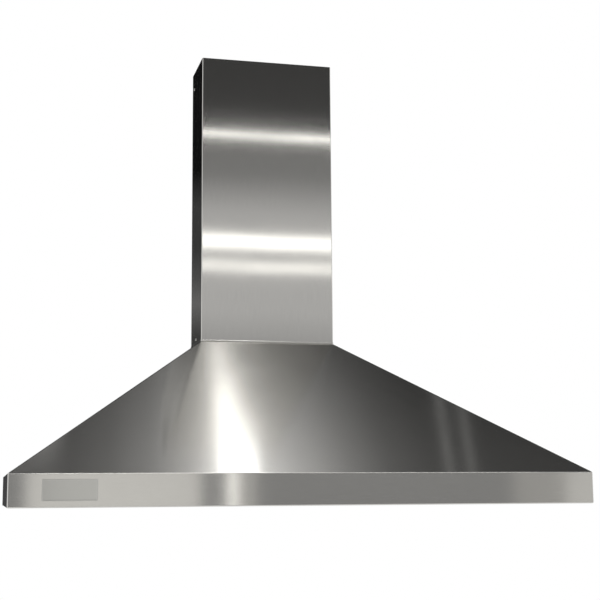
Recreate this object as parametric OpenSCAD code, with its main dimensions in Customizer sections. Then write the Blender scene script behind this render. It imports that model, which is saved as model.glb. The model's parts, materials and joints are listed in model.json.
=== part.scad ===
// Wall-hung pyramid range hood: folded stainless canopy, chimney cover, double-inlet
// blower with a non-return damper, three drop-down baffle filters, lamps and controls.
// X runs across the hood, the wall is the plane y = 0, the front faces -Y and Z is up.
// The origin is the middle of the four wall holes.

/* [Canopy] */
// Width of the canopy, outside
hood_w = 1200; // [1150:5:1400]
// Depth of the canopy from the wall
hood_d = 600; // [570:5:660]
// Height of the upright lip round the canopy
lip_h = 65; // [56:1:80]
// Rise of the sloping part above the lip
slope_h = 312; // [300:1:350]
// Thickness of the stainless sheet
sheet_t = 1; // [0.8:0.1:1.2]
// Outside radius of a fold in the sheet
fold_r = 2.5; // [2:0.1:3]
// Width of the return flange under the front of the lip
lip_return_w = 30; // [24:1:34]
// Width of the flange round the top of the slopes
top_flange_w = 5; // [4.5:0.1:5.5]

/* [Chimney] */
// Width of the chimney cover
chimney_w = 320; // [310:1:350]
// Depth of the chimney cover from the wall
chimney_d = 150; // [146:1:170]
// Height of the chimney cover
chimney_h = 690; // [450:10:900]
// Height of the upstand that the cover slips over
collar_h = 25; // [20:1:32]
// Nominal diameter of the duct
duct_d = 125; // [120:1:125]
// Height of the duct spigot above the top plate
spigot_h = 62; // [55:1:80]
// Width of the flanges behind the chimney cover
cover_flange_w = 15; // [12:1:18]
// Height of the wall bracket of the cover
bracket_h = 40; // [30:1:50]
// Length of the arms of that bracket
bracket_arm = 45; // [35:1:60]
// Distance between the two holes of that bracket
bracket_hole_dx = 160; // [120:5:200]
// Diameter of those holes
bracket_hole_d = 6; // [5:0.5:7]

/* [Wall fixing] */
// Diameter of the wall holes in the back panel
wall_hole_d = 8; // [6:0.5:10]
// Distance between the wall holes across the hood
wall_hole_dx = 360; // [330:5:380]
// Distance between the two rows of wall holes
wall_hole_dz = 180; // [160:5:190]
// Height of the middle of the wall holes over the lip's lower edge
wall_hole_z = 200; // [190:1:205]

/* [Underside] */
// Depth of the deck that holds the lamps and controls
deck_d = 90; // [84:1:100]
// Height of the deck and the filters above the lip's lower edge
recess_z = 8; // [7.5:0.1:9]
// Thickness of a baffle filter
filter_t = 18; // [17:0.5:20]
// Number of baffle filters
filter_count = 3; // [3:1:3]
// Width of the strip between two filters
divider_w = 10; // [8:1:14]
// Width of a ledge above the edge of a filter
ledge_w = 12; // [10:1:14]
// Radius of the folds in the underside rails
rail_fold_r = 2; // [1.5:0.1:2.4]

/* [Filters] */
// Width of the filter frame's flange
frame_flange_w = 12; // [10:1:14]
// Width of the deeper front flange, which holds the latch
latch_flange_w = 30; // [28:1:34]
// Number of lower baffles in a filter
baffle_count = 7; // [6:1:8]
// Width of one baffle channel
baffle_w = 36; // [32:1:38]
// Height of the lower baffles' walls
baffle_h = 9; // [8:0.5:10]
// Thickness of the baffle and frame sheet
filter_sheet_t = 1; // [0.8:0.1:1.2]
// Radius of the rod that a filter hangs on
rod_r = 2.5; // [2:0.1:3]
// Travel of the latch
latch_travel = 7; // [5:0.5:7]
// How far the latch's tongues reach past the frame
tongue_reach = 6; // [5:0.5:6]
// Width of the finger pull
pull_w = 44; // [36:1:50]

/* [Blower] */
// Diameter of the wheel
wheel_d = 150; // [140:1:152]
// Width of the wheel
wheel_w = 100; // [90:1:102]
// Number of blades
blade_count = 30; // [20:1:36]
// Radial depth of a blade
blade_d = 12; // [10:1:13]
// Angle that a blade sweeps forward
blade_sweep = 12; // [8:1:14]
// Gap between the wheel and the casing's tongue
tongue_gap = 8; // [6:0.5:10]
// Height of the wheel's axis above the lip's lower edge
wheel_z = 190; // [185:1:200]
// Radius of the inlets
inlet_r = 58; // [54:1:59]
// Radius of the motor
motor_r = 40; // [34:1:44]
// Length of the motor
motor_l = 60; // [50:1:64]
// Radius of the motor shaft
shaft_r = 4; // [3:0.5:5]

/* [Lamps and controls] */
// Distance of each lamp from the middle of the hood
lamp_dx = 330; // [280:5:360]
// Radius of the lamp opening
lamp_r = 32; // [26:1:34]
// Width of the control plate
control_w = 120; // [110:1:140]
// Depth of the control plate
control_d = 40; // [36:1:50]
// Radius of the speed knob
knob_r = 14; // [11:1:15]
// Radius of the light button
button_r = 8; // [6:0.5:9]
// Travel of the light button
button_travel = 2.5; // [2:0.1:3]

/* [Hidden] */
$fn = 48;

// Clearances
overrun = 1;            // how far a cut runs past the face that it cuts
run_gap = 0.05;         // radial clearance of a pin or shaft in its bore
slide_gap = 0.3;        // gap between flat faces that slide
cover_gap = 0.4;        // gap between the chimney cover and what it slips over
seat_in = 1;            // how far a rail's foot stands back from the flange's edge
near_gap = 1;           // gap between fixed pieces that don't touch

// Canopy
top_z = lip_h + slope_h;
run_front = hood_d - chimney_d;
run_side = (hood_w - chimney_w) / 2;
side_return_w = lip_return_w * run_side / run_front;
side_flange_w = top_flange_w * run_side / run_front;
bend_steps = 5;

// Chimney
cover_in_x = chimney_w / 2 - sheet_t - cover_gap;
cover_in_y = chimney_d - sheet_t - cover_gap;
back_y = -(sheet_t + cover_gap);
duct_y = -chimney_d / 2;
spigot_slip = 0.5;      // a duct's own play over the spigot
spigot_r = duct_d / 2 - spigot_slip;
spigot_in_r = spigot_r - sheet_t;
spigot_flange = 4;
plate_top = top_z + sheet_t;
bracket_z = top_z + chimney_h - bracket_h * 1.5;
boss_r = 8;
screw_r = 1.6;
screw_hole_r = screw_r + run_gap * 2;
screw_head_r = 3.5;
screw_head_t = 1.6;
screw_l = 9;
cover_screw_z = [top_z + collar_h / 2, bracket_z + bracket_h / 2];

// Damper in the spigot
damper_z = plate_top + spigot_h * 0.4;
pin_r = 1.5;
pin_dy = 3.5;           // each hinge pin's distance from the duct's middle
flap_t = 0.8;
flap_gap = 1;
knuckle_r = pin_r + run_gap + flap_t;
bead_w = 2.5;
bead_t = 1.5;
knuckle_end = 6;        // how far the knuckle stops short of the duct wall

// Underside levels and rails
deck_front_y = -(hood_d - lip_return_w + seat_in);
deck_rear_y = deck_front_y + deck_d;
rail_x = hood_w / 2 - side_return_w + seat_in;
rear_y = -(lip_return_w + seat_in);
foot_w = 14;
ledge_gap = 0.5;
ledge_z = recess_z + filter_t + ledge_gap;
rear_ledge_w = 22;
rail_half = rail_x - slide_gap;
divider_flange_w = 13;

// Filters
filter_gap = 1;
field_w = 2 * (rail_x - seat_in);
filter_w = (field_w - (filter_count - 1) * divider_w) / filter_count - 2 * filter_gap;
filter_pitch = filter_w + 2 * filter_gap + divider_w;
filter_x = [for (i = [0 : filter_count - 1]) (i - (filter_count - 1) / 2) * filter_pitch];
hinge_back = 10;        // the hinge rods stand this far in front of the rear rail
hinge_y = rear_y - hinge_back;
hinge_z = recess_z + filter_t / 2;
filter_back = hinge_y - rod_r * 2;
filter_front = deck_rear_y + filter_gap;
lug_t = 2;
lug_r = rod_r * 1.8;
lug_in = 20;            // lugs stand this far in from the filter's ends
hook_in = 60;           // and hooks this far
hook_w = 12;
hook_wall = 2;
rod_head_r = 4;
rod_head_t = 1.5;

// Baffles inside a filter
window_w = filter_w - 2 * frame_flange_w;
baffle_edge = 2;
baffle_pitch = (window_w - baffle_w - 2 * baffle_edge) / (baffle_count - 1);
baffle_r = 3;
baffle_tuck = 6;
baffle_floor = recess_z + filter_sheet_t;
baffle_roof = recess_z + filter_t - filter_sheet_t;
baffle_start = filter_front + latch_flange_w - baffle_tuck;
baffle_end = filter_back - filter_sheet_t - slide_gap;

// Latch at the front of a filter
slider_w = 96;
slider_d = 14;
slider_t = 3;
slider_z = hinge_z - slider_t / 2;
slider_y = filter_front + filter_sheet_t + slide_gap;
tongue_w = 12;
tongue_dx = 28;         // each tongue's distance from the middle
guide_w = 8;
guide_dx = 44;          // each guide's distance from the middle
guide_d = latch_flange_w - baffle_tuck - filter_sheet_t - near_gap;
pull_t = 3;
pull_drop = 6;
keeper_gap = 0.6;

// Blower casing and wheel
throat = 2 * spigot_in_r;
tongue_r = wheel_d / 2 + tongue_gap;
wheel_y = -chimney_d;
scroll_r = duct_y + throat / 2 - wheel_y;
tongue_angle = acos((duct_y - throat / 2 - wheel_y) / tongue_r);
outer_angle = acos((duct_y - throat / 2 - sheet_t - wheel_y) / (tongue_r + sheet_t));
scroll_steps = 40;
casing_x = throat / 2;
rim_w = 2;
lip_out = 14;
lip_screw_dx = casing_x + sheet_t + lip_out / 2;
lip_screw_dy = 40;
inlet_flare = 8;
ring_flange_r = inlet_r + 2 * inlet_flare + 2 * sheet_t;
plate_hole_r = inlet_r + inlet_flare + run_gap * 10;
inlet_len = 11;
blade_t = 1.2;
blade_steps = 4;
disc_t = 1.5;
ring_t = 2;
hub_r = 12;
hub_l = 15;
set_screw_r = 2;
shaft_in = 18;          // how far the shaft runs into the motor
shaft_nose = 22;
motor_stand = 10;       // how far the motor stands out of the casing's side
motor_back = -casing_x - sheet_t - motor_stand;
motor_face = motor_back + motor_l;
boss_end = -2 * near_gap;
shaft_tail = shaft_in - motor_face;
motor_boss_r = 12;
motor_rib_w = 3;
motor_rib_t = 2;
motor_ribs = 18;
cradle_t = 3;
cradle_in_r = 12;
cradle_out_r = 30;
cradle_arm_w = 14;
cradle_foot = 10;
cradle_reach = ring_flange_r + near_gap + cradle_foot;
cradle_angles = [60, 180, 300];

// Electrics
box_w = 110;
box_d = 42;
box_h = 72;
box_wall = 2;
box_x = -wall_hole_dx / 2 - box_w * 1.3;
box_z = 96;
entry_shares = [0.3, 0.7];
term_ways = 5;
term_pitch = 12;
term_d = 18;
term_h = 16;
term_screw_r = 2.5;
term_slot = 1;
cap_r = 16;
cap_l = 66;
cap_z = box_z + box_h + cap_r * 2;
strap_w = 12;
strap_t = 1.5;
strap_tab = 12;
grommet_x = -cover_in_x * 0.74;
grommet_hole_r = 9;
grommet_bore_r = 5;
grommet_rim = 3;
grommet_t = 2.5;
driver_x = 130;
driver_w = 120;
driver_d = 36;
driver_h = 24;

// Lamps
deck_y = (deck_front_y + deck_rear_y) / 2;
bezel_w = 5;
bezel_t = 2;
lens_r = lamp_r - 3 * sheet_t;
lens_t = 3;
lamp_h = 30;
fin_count = 5;
fin_t = 2;
fin_d = 5;
lamp_neck = 6;

// Controls
control_t = 1.5;
switch_w = 96;
switch_d = 28;
switch_h = 26;
knob_x = -26;
button_x = 26;
knob_h = 5.6;
knob_grooves = 18;
groove_r = 1.2;
spindle_r = 3;
spindle_l = 18;
button_drop = 4;
button_flange = 1.5;
button_flange_t = 1.2;

// Sheet-metal helpers
function unit(v) = v / norm(v);
function left_of(v) = [-v[1], v[0]];
function turn(a, b) = atan2(a[0] * b[1] - a[1] * b[0], a[0] * b[0] + a[1] * b[1]);
function spun(v, a) = [v[0] * cos(a) - v[1] * sin(a), v[0] * sin(a) + v[1] * cos(a)];

// The face points, each with its normal, of one rounded bend at the corner q
function bend_at(p, q, s, r) =
    let (d = unit(q - p), a = turn(d, unit(s - q)), arm = left_of(d) * sign(a) * r)
    let (centre = q - d * r * tan(abs(a) / 2) + arm)
    [for (k = [0 : bend_steps]) let (w = a * k / bend_steps)
        [centre - spun(arm, w), spun(left_of(d), w)]];

function face_of(path, r) = let (n = len(path)) concat(
    [[path[0], left_of(unit(path[1] - path[0]))]],
    [for (i = [1 : n - 2]) each bend_at(path[i - 1], path[i], path[i + 1], r)],
    [[path[n - 1], left_of(unit(path[n - 1] - path[n - 2]))]]);

// Section of a sheet whose face follows the path, with its thickness on the left
module bent_sheet(path, t, r) {
    face = face_of(path, r);
    n = len(face);
    polygon(concat([for (f = face) f[0]],
        [for (i = [1 : n]) face[n - i][0] + face[n - i][1] * t]));
}

module box(lo, hi) {
    translate(lo) cube(hi - lo);
}

// A section drawn in y and z, run along X
module along_x(x0, x1) {
    translate([x0, 0, 0]) rotate([90, 0, 90]) linear_extrude(x1 - x0) children();
}

// A section drawn in x and z, run along Y
module along_y(y0, y1) {
    translate([0, y1, 0]) rotate([90, 0, 0]) linear_extrude(y1 - y0) children();
}

module rod_x(x0, x1, y, z, r) {
    translate([x0, y, z]) rotate([0, 90, 0]) cylinder(h = x1 - x0, r = r);
}

module rod_y(x, y0, y1, z, r) {
    translate([x, y1, z]) rotate([90, 0, 0]) cylinder(h = y1 - y0, r = r);
}

// Turned shape about the wheel's axis: its section is drawn in radius and x
module turned_x() {
    translate([0, wheel_y, wheel_z]) rotate([0, 90, 0]) rotate_extrude() children();
}

// Everything is drawn with the lip's lower edge at zero and hung from the wall holes
module hung() {
    translate([0, 0, -wall_hole_z]) children();
}

// Canopy panels
function panel_path(outer, inner, return_w, flange_w) = [
    [-inner + flange_w, top_z], [-inner, top_z], [-outer, lip_h],
    [-outer, 0], [-outer + return_w, 0]];

// Half width of the mitre between the front and the side slopes at depth y
function mitre_x(y) = hood_w / 2 - (y + hood_d) * run_side / run_front;

mitre_front = -hood_d - overrun;
mitre_back = -chimney_d + top_flange_w + overrun;

module region(outline) {
    translate([0, 0, -overrun]) linear_extrude(top_z + 2 * overrun) polygon(outline);
}

module front_panel() {
    color("silver") hung() intersection() {
        along_x(-hood_w / 2, hood_w / 2)
            bent_sheet(panel_path(hood_d, chimney_d, lip_return_w, top_flange_w), sheet_t, fold_r);
        region([[-mitre_x(mitre_front), mitre_front], [mitre_x(mitre_front), mitre_front],
            [mitre_x(mitre_back), mitre_back], [-mitre_x(mitre_back), mitre_back]]);
    }
}

module side_panel() {
    intersection() {
        along_y(-hood_d, -sheet_t) bent_sheet(
            panel_path(hood_w / 2, chimney_w / 2, side_return_w, side_flange_w), sheet_t, fold_r);
        region([[-mitre_x(mitre_front), mitre_front], [-mitre_x(mitre_back), mitre_back],
            [-mitre_x(mitre_back), overrun], [-mitre_x(mitre_front), overrun]]);
    }
}

module left_panel() {
    color("silver") hung() side_panel();
}

module right_panel() {
    color("silver") hung() mirror([1, 0, 0]) side_panel();
}

module wall_holes() {
    for (sx = [-1, 1], sz = [-1, 1])
        rod_y(sx * wall_hole_dx / 2, -lip_return_w, overrun,
            wall_hole_z + sz * wall_hole_dz / 2, wall_hole_d / 2);
}

module back_panel() {
    return_x = hood_w / 2 - side_return_w;
    flange_x = chimney_w / 2 - side_flange_w;
    color("darkgray") hung() difference() {
        union() {
            along_y(-sheet_t, 0) polygon([[-hood_w / 2, 0], [hood_w / 2, 0], [hood_w / 2, lip_h],
                [chimney_w / 2, top_z], [-chimney_w / 2, top_z], [-hood_w / 2, lip_h]]);
            box([-return_x, -lip_return_w, 0], [return_x, 0, sheet_t]);
            box([-flange_x, -top_flange_w, top_z - sheet_t], [flange_x, 0, top_z]);
        }
        wall_holes();
    }
}

// Top plate with the upstand that the chimney cover slips over
module top_plate() {
    color("darkgray") hung() difference() {
        box([-cover_in_x, -cover_in_y, top_z], [cover_in_x, back_y, top_z + collar_h]);
        box([-cover_in_x + sheet_t, -cover_in_y + sheet_t, plate_top],
            [cover_in_x - sheet_t, overrun, top_z + collar_h + overrun]);
        translate([0, duct_y, top_z - overrun]) cylinder(h = collar_h, r = spigot_in_r);
        translate([grommet_x, duct_y, top_z - overrun])
            cylinder(h = collar_h, r = grommet_hole_r);
        rod_x(-chimney_w, chimney_w, duct_y, cover_screw_z[0], screw_hole_r);
        lip_screw_places() cylinder(h = collar_h, r = screw_hole_r);
    }
}

// Chimney
module chimney_cover() {
    w = chimney_w / 2;
    color("silver") hung() difference() {
        translate([0, 0, top_z]) linear_extrude(chimney_h) bent_sheet([
            [-w + cover_flange_w, 0], [-w, 0], [-w, -chimney_d],
            [w, -chimney_d], [w, 0], [w - cover_flange_w, 0]], sheet_t, fold_r);
        for (z = cover_screw_z)
            rod_x(-chimney_w, chimney_w, z == cover_screw_z[0] ? duct_y : -bracket_arm / 2,
                z, screw_hole_r);
    }
}

module chimney_bracket() {
    color("darkgray") hung() difference() {
        union() {
            translate([0, 0, bracket_z]) linear_extrude(bracket_h) bent_sheet([
                [cover_in_x, -bracket_arm], [cover_in_x, back_y],
                [-cover_in_x, back_y], [-cover_in_x, -bracket_arm]], 1.5 * sheet_t, fold_r);
            for (sx = [-1, 1])
                rod_y(sx * bracket_hole_dx / 2, back_y - sheet_t, 0, bracket_z + bracket_h / 2, boss_r);
        }
        for (sx = [-1, 1])
            rod_y(sx * bracket_hole_dx / 2, -bracket_arm, overrun,
                bracket_z + bracket_h / 2, bracket_hole_d / 2);
        rod_x(-chimney_w, chimney_w, -bracket_arm / 2, cover_screw_z[1], screw_hole_r);
    }
}

module screw() {
    rotate_extrude() polygon([[0, -screw_l], [screw_r - run_gap * 4, -screw_l],
        [screw_r, -screw_l + screw_r], [screw_r, 0], [screw_head_r, 0],
        [screw_head_r, screw_head_t / 2], [screw_head_r / 2, screw_head_t], [0, screw_head_t]]);
}

module chimney_screws() {
    color("gainsboro") hung() for (s = [-1, 1]) {
        translate([s * chimney_w / 2, duct_y, cover_screw_z[0]]) rotate([0, s * 90, 0]) screw();
        translate([s * chimney_w / 2, -bracket_arm / 2, cover_screw_z[1]])
            rotate([0, s * 90, 0]) screw();
    }
}

// Underside rails
module deck_cuts() {
    for (s = [-1, 1])
        translate([s * lamp_dx, deck_y, 0]) cylinder(h = ledge_z, r = lamp_r);
    box([-switch_w / 2 - slide_gap, deck_y - switch_d / 2 - slide_gap, 0],
        [switch_w / 2 + slide_gap, deck_y + switch_d / 2 + slide_gap, ledge_z]);
    for (x = filter_x, s = [-1, 1])
        box([x + s * tongue_dx - tongue_w / 2 - keeper_gap, deck_rear_y - foot_w, slider_z - slide_gap],
            [x + s * tongue_dx + tongue_w / 2 + keeper_gap, deck_rear_y + overrun,
                slider_z + slider_t + keeper_gap]);
}

module control_deck() {
    color("silver") hung() difference() {
        along_x(-rail_half, rail_half) bent_sheet([
            [deck_front_y - foot_w, sheet_t], [deck_front_y, sheet_t], [deck_front_y, recess_z],
            [deck_rear_y, recess_z], [deck_rear_y, ledge_z], [deck_rear_y + ledge_w, ledge_z]],
            sheet_t, rail_fold_r);
        deck_cuts();
    }
}

module rear_rail() {
    color("darkgray") hung() difference() {
        union() {
            along_x(-rail_half, rail_half) bent_sheet([
                [rear_y - rear_ledge_w, ledge_z], [rear_y, ledge_z],
                [rear_y, sheet_t], [rear_y + foot_w, sheet_t]], sheet_t, rail_fold_r);
            for (x = filter_x, s = [-1, 1])
                translate([x + s * (filter_w / 2 - lug_in) - lug_t / 2, 0, 0]) {
                    rod_x(0, lug_t, hinge_y, hinge_z, lug_r);
                    box([0, hinge_y, hinge_z - lug_r], [lug_t, rear_y + sheet_t / 2, hinge_z + lug_r]);
                }
        }
        for (x = filter_x)
            rod_x(x - filter_w / 2, x + filter_w / 2, hinge_y, hinge_z, rod_r + run_gap);
    }
}

module end_rail() {
    color("silver") difference() {
        along_y(deck_front_y, rear_y + foot_w) bent_sheet([
            [-rail_x - foot_w, sheet_t], [-rail_x, sheet_t],
            [-rail_x, ledge_z], [-rail_x + ledge_w, ledge_z]], sheet_t, rail_fold_r);
        box([-rail_x, deck_front_y - overrun, sheet_t + overrun],
            [0, deck_rear_y + ledge_w + slide_gap, top_z]);
        box([-rail_x, rear_y - rear_ledge_w - slide_gap, sheet_t + overrun],
            [0, 0, top_z]);
    }
}

module left_end_rail() {
    hung() end_rail();
}

module right_end_rail() {
    hung() mirror([1, 0, 0]) end_rail();
}

// Hat-shaped strip between two filters, notched where it crosses the ledges
module divider(x) {
    c = divider_w / 2;
    z = ledge_z + sheet_t;
    color("silver") translate([x, 0, 0]) difference() {
        along_y(deck_rear_y + slide_gap, rear_y - slide_gap) bent_sheet([
            [-c - divider_flange_w, z], [-c, z], [-c, recess_z],
            [c, recess_z], [c, z], [c + divider_flange_w, z]], sheet_t, rail_fold_r);
        box([-divider_w, deck_rear_y, ledge_z - slide_gap],
            [divider_w, deck_rear_y + ledge_w + slide_gap, z]);
        box([-divider_w, rear_y - rear_ledge_w - slide_gap, ledge_z - slide_gap],
            [divider_w, rear_y, z]);
    }
}

module left_divider() {
    hung() divider((filter_x[0] + filter_x[1]) / 2);
}

module right_divider() {
    hung() divider((filter_x[1] + filter_x[2]) / 2);
}

module hinge_rods() {
    half = filter_w / 2 - lug_in + lug_t;
    color("gainsboro") hung() for (x = filter_x) {
        rod_x(x - half, x + half, hinge_y, hinge_z, rod_r);
        for (s = [-1, 1])
            rod_x(x + s * (half + rod_head_t / 2) - rod_head_t / 2,
                x + s * (half + rod_head_t / 2) + rod_head_t / 2, hinge_y, hinge_z, rod_head_r);
    }
}

// Filters
module filter_frame(x) {
    w = filter_w / 2;
    t = filter_sheet_t;
    color("lightgray") translate([x, 0, 0]) difference() {
        union() {
            difference() {
                box([-w, filter_front, recess_z], [w, filter_back, recess_z + filter_t]);
                box([-w + t, filter_front + t, recess_z + t],
                    [w - t, filter_back - t, recess_z + filter_t - t]);
                box([-w + frame_flange_w, filter_front + latch_flange_w, 0],
                    [w - frame_flange_w, filter_back - frame_flange_w, top_z]);
            }
            for (s = [-1, 1])
                translate([s * guide_dx - guide_w / 2, 0, 0])
                    box([0, filter_front + t / 2, recess_z + t / 2],
                        [guide_w, filter_front + t + guide_d, recess_z + filter_t - t / 2]);
            for (s = [-1, 1])
                translate([s * (w - hook_in) - hook_w / 2, 0, 0]) hook();
        }
        box([-slider_w / 2 - slide_gap, filter_front + t, slider_z - slide_gap],
            [slider_w / 2 + slide_gap, filter_front + latch_flange_w, slider_z + slider_t + slide_gap]);
        for (s = [-1, 1])
            box([s * tongue_dx - tongue_w / 2 - slide_gap, filter_front - overrun, slider_z - slide_gap],
                [s * tongue_dx + tongue_w / 2 + slide_gap, filter_front + 2 * t,
                    slider_z + slider_t + slide_gap]);
        box([-pull_w / 2 - slide_gap, slider_y + slider_d - pull_t - slide_gap, 0],
            [pull_w / 2 + slide_gap, slider_y + slider_d + latch_travel + slide_gap, hinge_z]);
    }
}

// Hook that hangs over the rod and is open below it
module hook() {
    r = rod_r + run_gap;
    along_x(0, hook_w) difference() {
        union() {
            translate([hinge_y, hinge_z]) circle(r + hook_wall);
            translate([filter_back - filter_sheet_t / 2, hinge_z - r])
                square([hinge_y - filter_back + filter_sheet_t / 2, 2 * r + hook_wall]);
        }
        translate([hinge_y, hinge_z]) circle(r);
        translate([hinge_y - r, hinge_z - 2 * lug_r]) square([2 * r, 2 * lug_r]);
    }
}

function channel_path(x, z0, z1) = [[x - baffle_w / 2, z1], [x - baffle_w / 2, z0],
    [x + baffle_w / 2, z0], [x + baffle_w / 2, z1]];

module lower_baffles(x) {
    color("gainsboro") for (k = [0 : baffle_count - 1])
        along_y(baffle_start, baffle_end) bent_sheet(
            channel_path(x + (k - (baffle_count - 1) / 2) * baffle_pitch,
                baffle_floor, baffle_floor + baffle_h), filter_sheet_t, baffle_r);
}

module upper_baffles(x) {
    color("gainsboro") for (k = [1 : baffle_count - 1])
        translate([2 * (x + (k - baffle_count / 2) * baffle_pitch), 0, 0]) mirror([1, 0, 0])
        along_y(baffle_start, baffle_end)
            mirror([0, 1]) bent_sheet(
                channel_path(x + (k - baffle_count / 2) * baffle_pitch,
                    -baffle_roof, -baffle_roof + baffle_h), filter_sheet_t, baffle_r);
}

module latch(x) {
    color("dimgray") translate([x, 0, 0]) {
        box([-slider_w / 2, slider_y, slider_z], [slider_w / 2, slider_y + slider_d, slider_z + slider_t]);
        for (s = [-1, 1])
            box([s * tongue_dx - tongue_w / 2, filter_front - tongue_reach, slider_z],
                [s * tongue_dx + tongue_w / 2, slider_y + slider_d / 2, slider_z + slider_t]);
        box([-pull_w / 2, slider_y + slider_d - pull_t, recess_z - pull_drop],
            [pull_w / 2, slider_y + slider_d, slider_z + slider_t]);
    }
}

module left_filter_frame() {
    hung() filter_frame(filter_x[0]);
}

module left_filter_lower_baffles() {
    hung() lower_baffles(filter_x[0]);
}

module left_filter_upper_baffles() {
    hung() upper_baffles(filter_x[0]);
}

module left_filter_latch() {
    hung() latch(filter_x[0]);
}

module middle_filter_frame() {
    hung() filter_frame(filter_x[1]);
}

module middle_filter_lower_baffles() {
    hung() lower_baffles(filter_x[1]);
}

module middle_filter_upper_baffles() {
    hung() upper_baffles(filter_x[1]);
}

module middle_filter_latch() {
    hung() latch(filter_x[1]);
}

module right_filter_frame() {
    hung() filter_frame(filter_x[2]);
}

module right_filter_lower_baffles() {
    hung() lower_baffles(filter_x[2]);
}

module right_filter_upper_baffles() {
    hung() upper_baffles(filter_x[2]);
}

module right_filter_latch() {
    hung() latch(filter_x[2]);
}

// Blower casing: a spiral that opens out towards the outlet behind and above the wheel
function scroll_radius(a) = tongue_r + (scroll_r - tongue_r) * (a - tongue_angle) / (360 - tongue_angle);

function scroll_outline(start, grow) = concat(
    [for (k = [0 : scroll_steps]) let (a = start + (360 - start) * k / scroll_steps,
        r = scroll_radius(a) + grow) [wheel_y + r * cos(a), wheel_z + r * sin(a)]],
    [[duct_y + throat / 2 + grow, top_z], [duct_y - throat / 2 - grow, top_z]]);

module blower_wrapper() {
    color("lightsteelblue") hung() along_x(-casing_x, casing_x) difference() {
        polygon(scroll_outline(outer_angle, sheet_t));
        polygon(scroll_outline(tongue_angle, 0));
        translate([duct_y - throat / 2, top_z - overrun]) square([throat, 2 * overrun]);
    }
}

module lip_screw_places() {
    for (sx = [-1, 1], sy = [-1, 1])
        translate([sx * lip_screw_dx, duct_y + sy * lip_screw_dy, top_z - 2 * sheet_t]) children();
}

module blower_side() {
    difference() {
        union() {
            along_x(casing_x, casing_x + sheet_t)
                polygon(scroll_outline(outer_angle, sheet_t + rim_w));
            box([casing_x, duct_y - throat / 2, top_z - sheet_t],
                [casing_x + sheet_t + lip_out, duct_y + throat / 2, top_z]);
        }
        rod_x(casing_x - overrun, casing_x + sheet_t + overrun, wheel_y, wheel_z, plate_hole_r);
        lip_screw_places() cylinder(h = collar_h, r = screw_hole_r);
    }
}

module blower_side_right() {
    color("lightsteelblue") hung() blower_side();
}

module blower_side_left() {
    color("lightsteelblue") hung() mirror([1, 0, 0]) blower_side();
}

module inlet_ring() {
    x = casing_x + 2 * sheet_t;
    turned_x() bent_sheet([[ring_flange_r, x], [inlet_r, x], [inlet_r, x - inlet_len]],
        sheet_t, inlet_flare);
}

module inlet_ring_right() {
    color("lightsteelblue") hung() inlet_ring();
}

module inlet_ring_left() {
    color("lightsteelblue") hung() mirror([1, 0, 0]) inlet_ring();
}

module blower_screws() {
    color("gainsboro") hung() lip_screw_places()
        translate([0, 0, sheet_t]) mirror([0, 0, 1]) screw();
}

// Motor inside the left half of the wheel, with ribs on its shell
module motor() {
    bell = motor_r * 0.7;
    color("dimgray") hung() difference() {
        union() {
            turned_x() polygon([[0, motor_back], [bell, motor_back],
                [motor_r - motor_rib_t, motor_back + motor_l * 0.12],
                [motor_r - motor_rib_t, motor_face - motor_l * 0.12], [bell, motor_face],
                [motor_boss_r, motor_face], [motor_boss_r, boss_end], [0, boss_end]]);
            for (k = [0 : motor_ribs - 1])
                translate([0, wheel_y, wheel_z]) rotate([k * 360 / motor_ribs, 0, 0])
                    box([motor_back + motor_l * 0.15, -motor_rib_w / 2, motor_r * 0.8],
                        [motor_face - motor_l * 0.15, motor_rib_w / 2, motor_r]);
        }
        rod_x(-shaft_tail - overrun, 0, wheel_y, wheel_z, shaft_r + run_gap);
    }
}

module motor_cradle() {
    x0 = motor_back - cradle_t;
    foot_x = -casing_x - sheet_t;
    color("slategray") hung() union() {
        turned_x() polygon([[cradle_in_r, x0], [cradle_out_r, x0],
            [cradle_out_r, motor_back], [cradle_in_r, motor_back]]);
        for (a = cradle_angles)
            translate([0, wheel_y, wheel_z]) rotate([a, 0, 0]) {
                box([x0, cradle_out_r - cradle_t, -cradle_arm_w / 2],
                    [motor_back, cradle_reach, cradle_arm_w / 2]);
                box([x0, cradle_reach - cradle_t, -cradle_arm_w / 2],
                    [foot_x, cradle_reach, cradle_arm_w / 2]);
                box([foot_x - cradle_t, cradle_reach - cradle_foot, -cradle_arm_w / 2],
                    [foot_x, cradle_reach, cradle_arm_w / 2]);
            }
    }
}

// Double-inlet wheel: a middle disc, two end rings and forward-curved blades
function blade_side(side) = [for (k = [0 : blade_steps])
    let (s = k / blade_steps, r = wheel_d / 2 - blade_d - near_gap + (blade_d + near_gap / 2) * s,
        a = blade_sweep * s * s + side * asin(blade_t / 2 / r)) [r * cos(a), r * sin(a)]];

module blade() {
    far = blade_side(1);
    polygon(concat(blade_side(-1), [for (k = [0 : blade_steps]) far[blade_steps - k]]));
}

module impeller_disc() {
    color("gray") hung() difference() {
        rod_x(0, disc_t, wheel_y, wheel_z, wheel_d / 2);
        rod_x(-overrun, disc_t + overrun, wheel_y, wheel_z, shaft_r);
    }
}

module impeller_rings() {
    color("gray") hung() for (s = [-1, 1])
        translate([s * (wheel_w - ring_t) / 2, 0, 0]) turned_x()
            translate([wheel_d / 2 - blade_d, -ring_t / 2]) square([blade_d, ring_t]);
}

// Each blade runs from the disc to one end ring
module impeller_blades() {
    end = wheel_w / 2 - ring_t;
    color("gray") hung() for (span = [[-end, 0], [disc_t, end]])
        translate([span[0], wheel_y, wheel_z]) rotate([90, 0, 90])
            linear_extrude(span[1] - span[0]) for (k = [0 : blade_count - 1])
                rotate(k * 360 / blade_count) blade();
}

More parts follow.
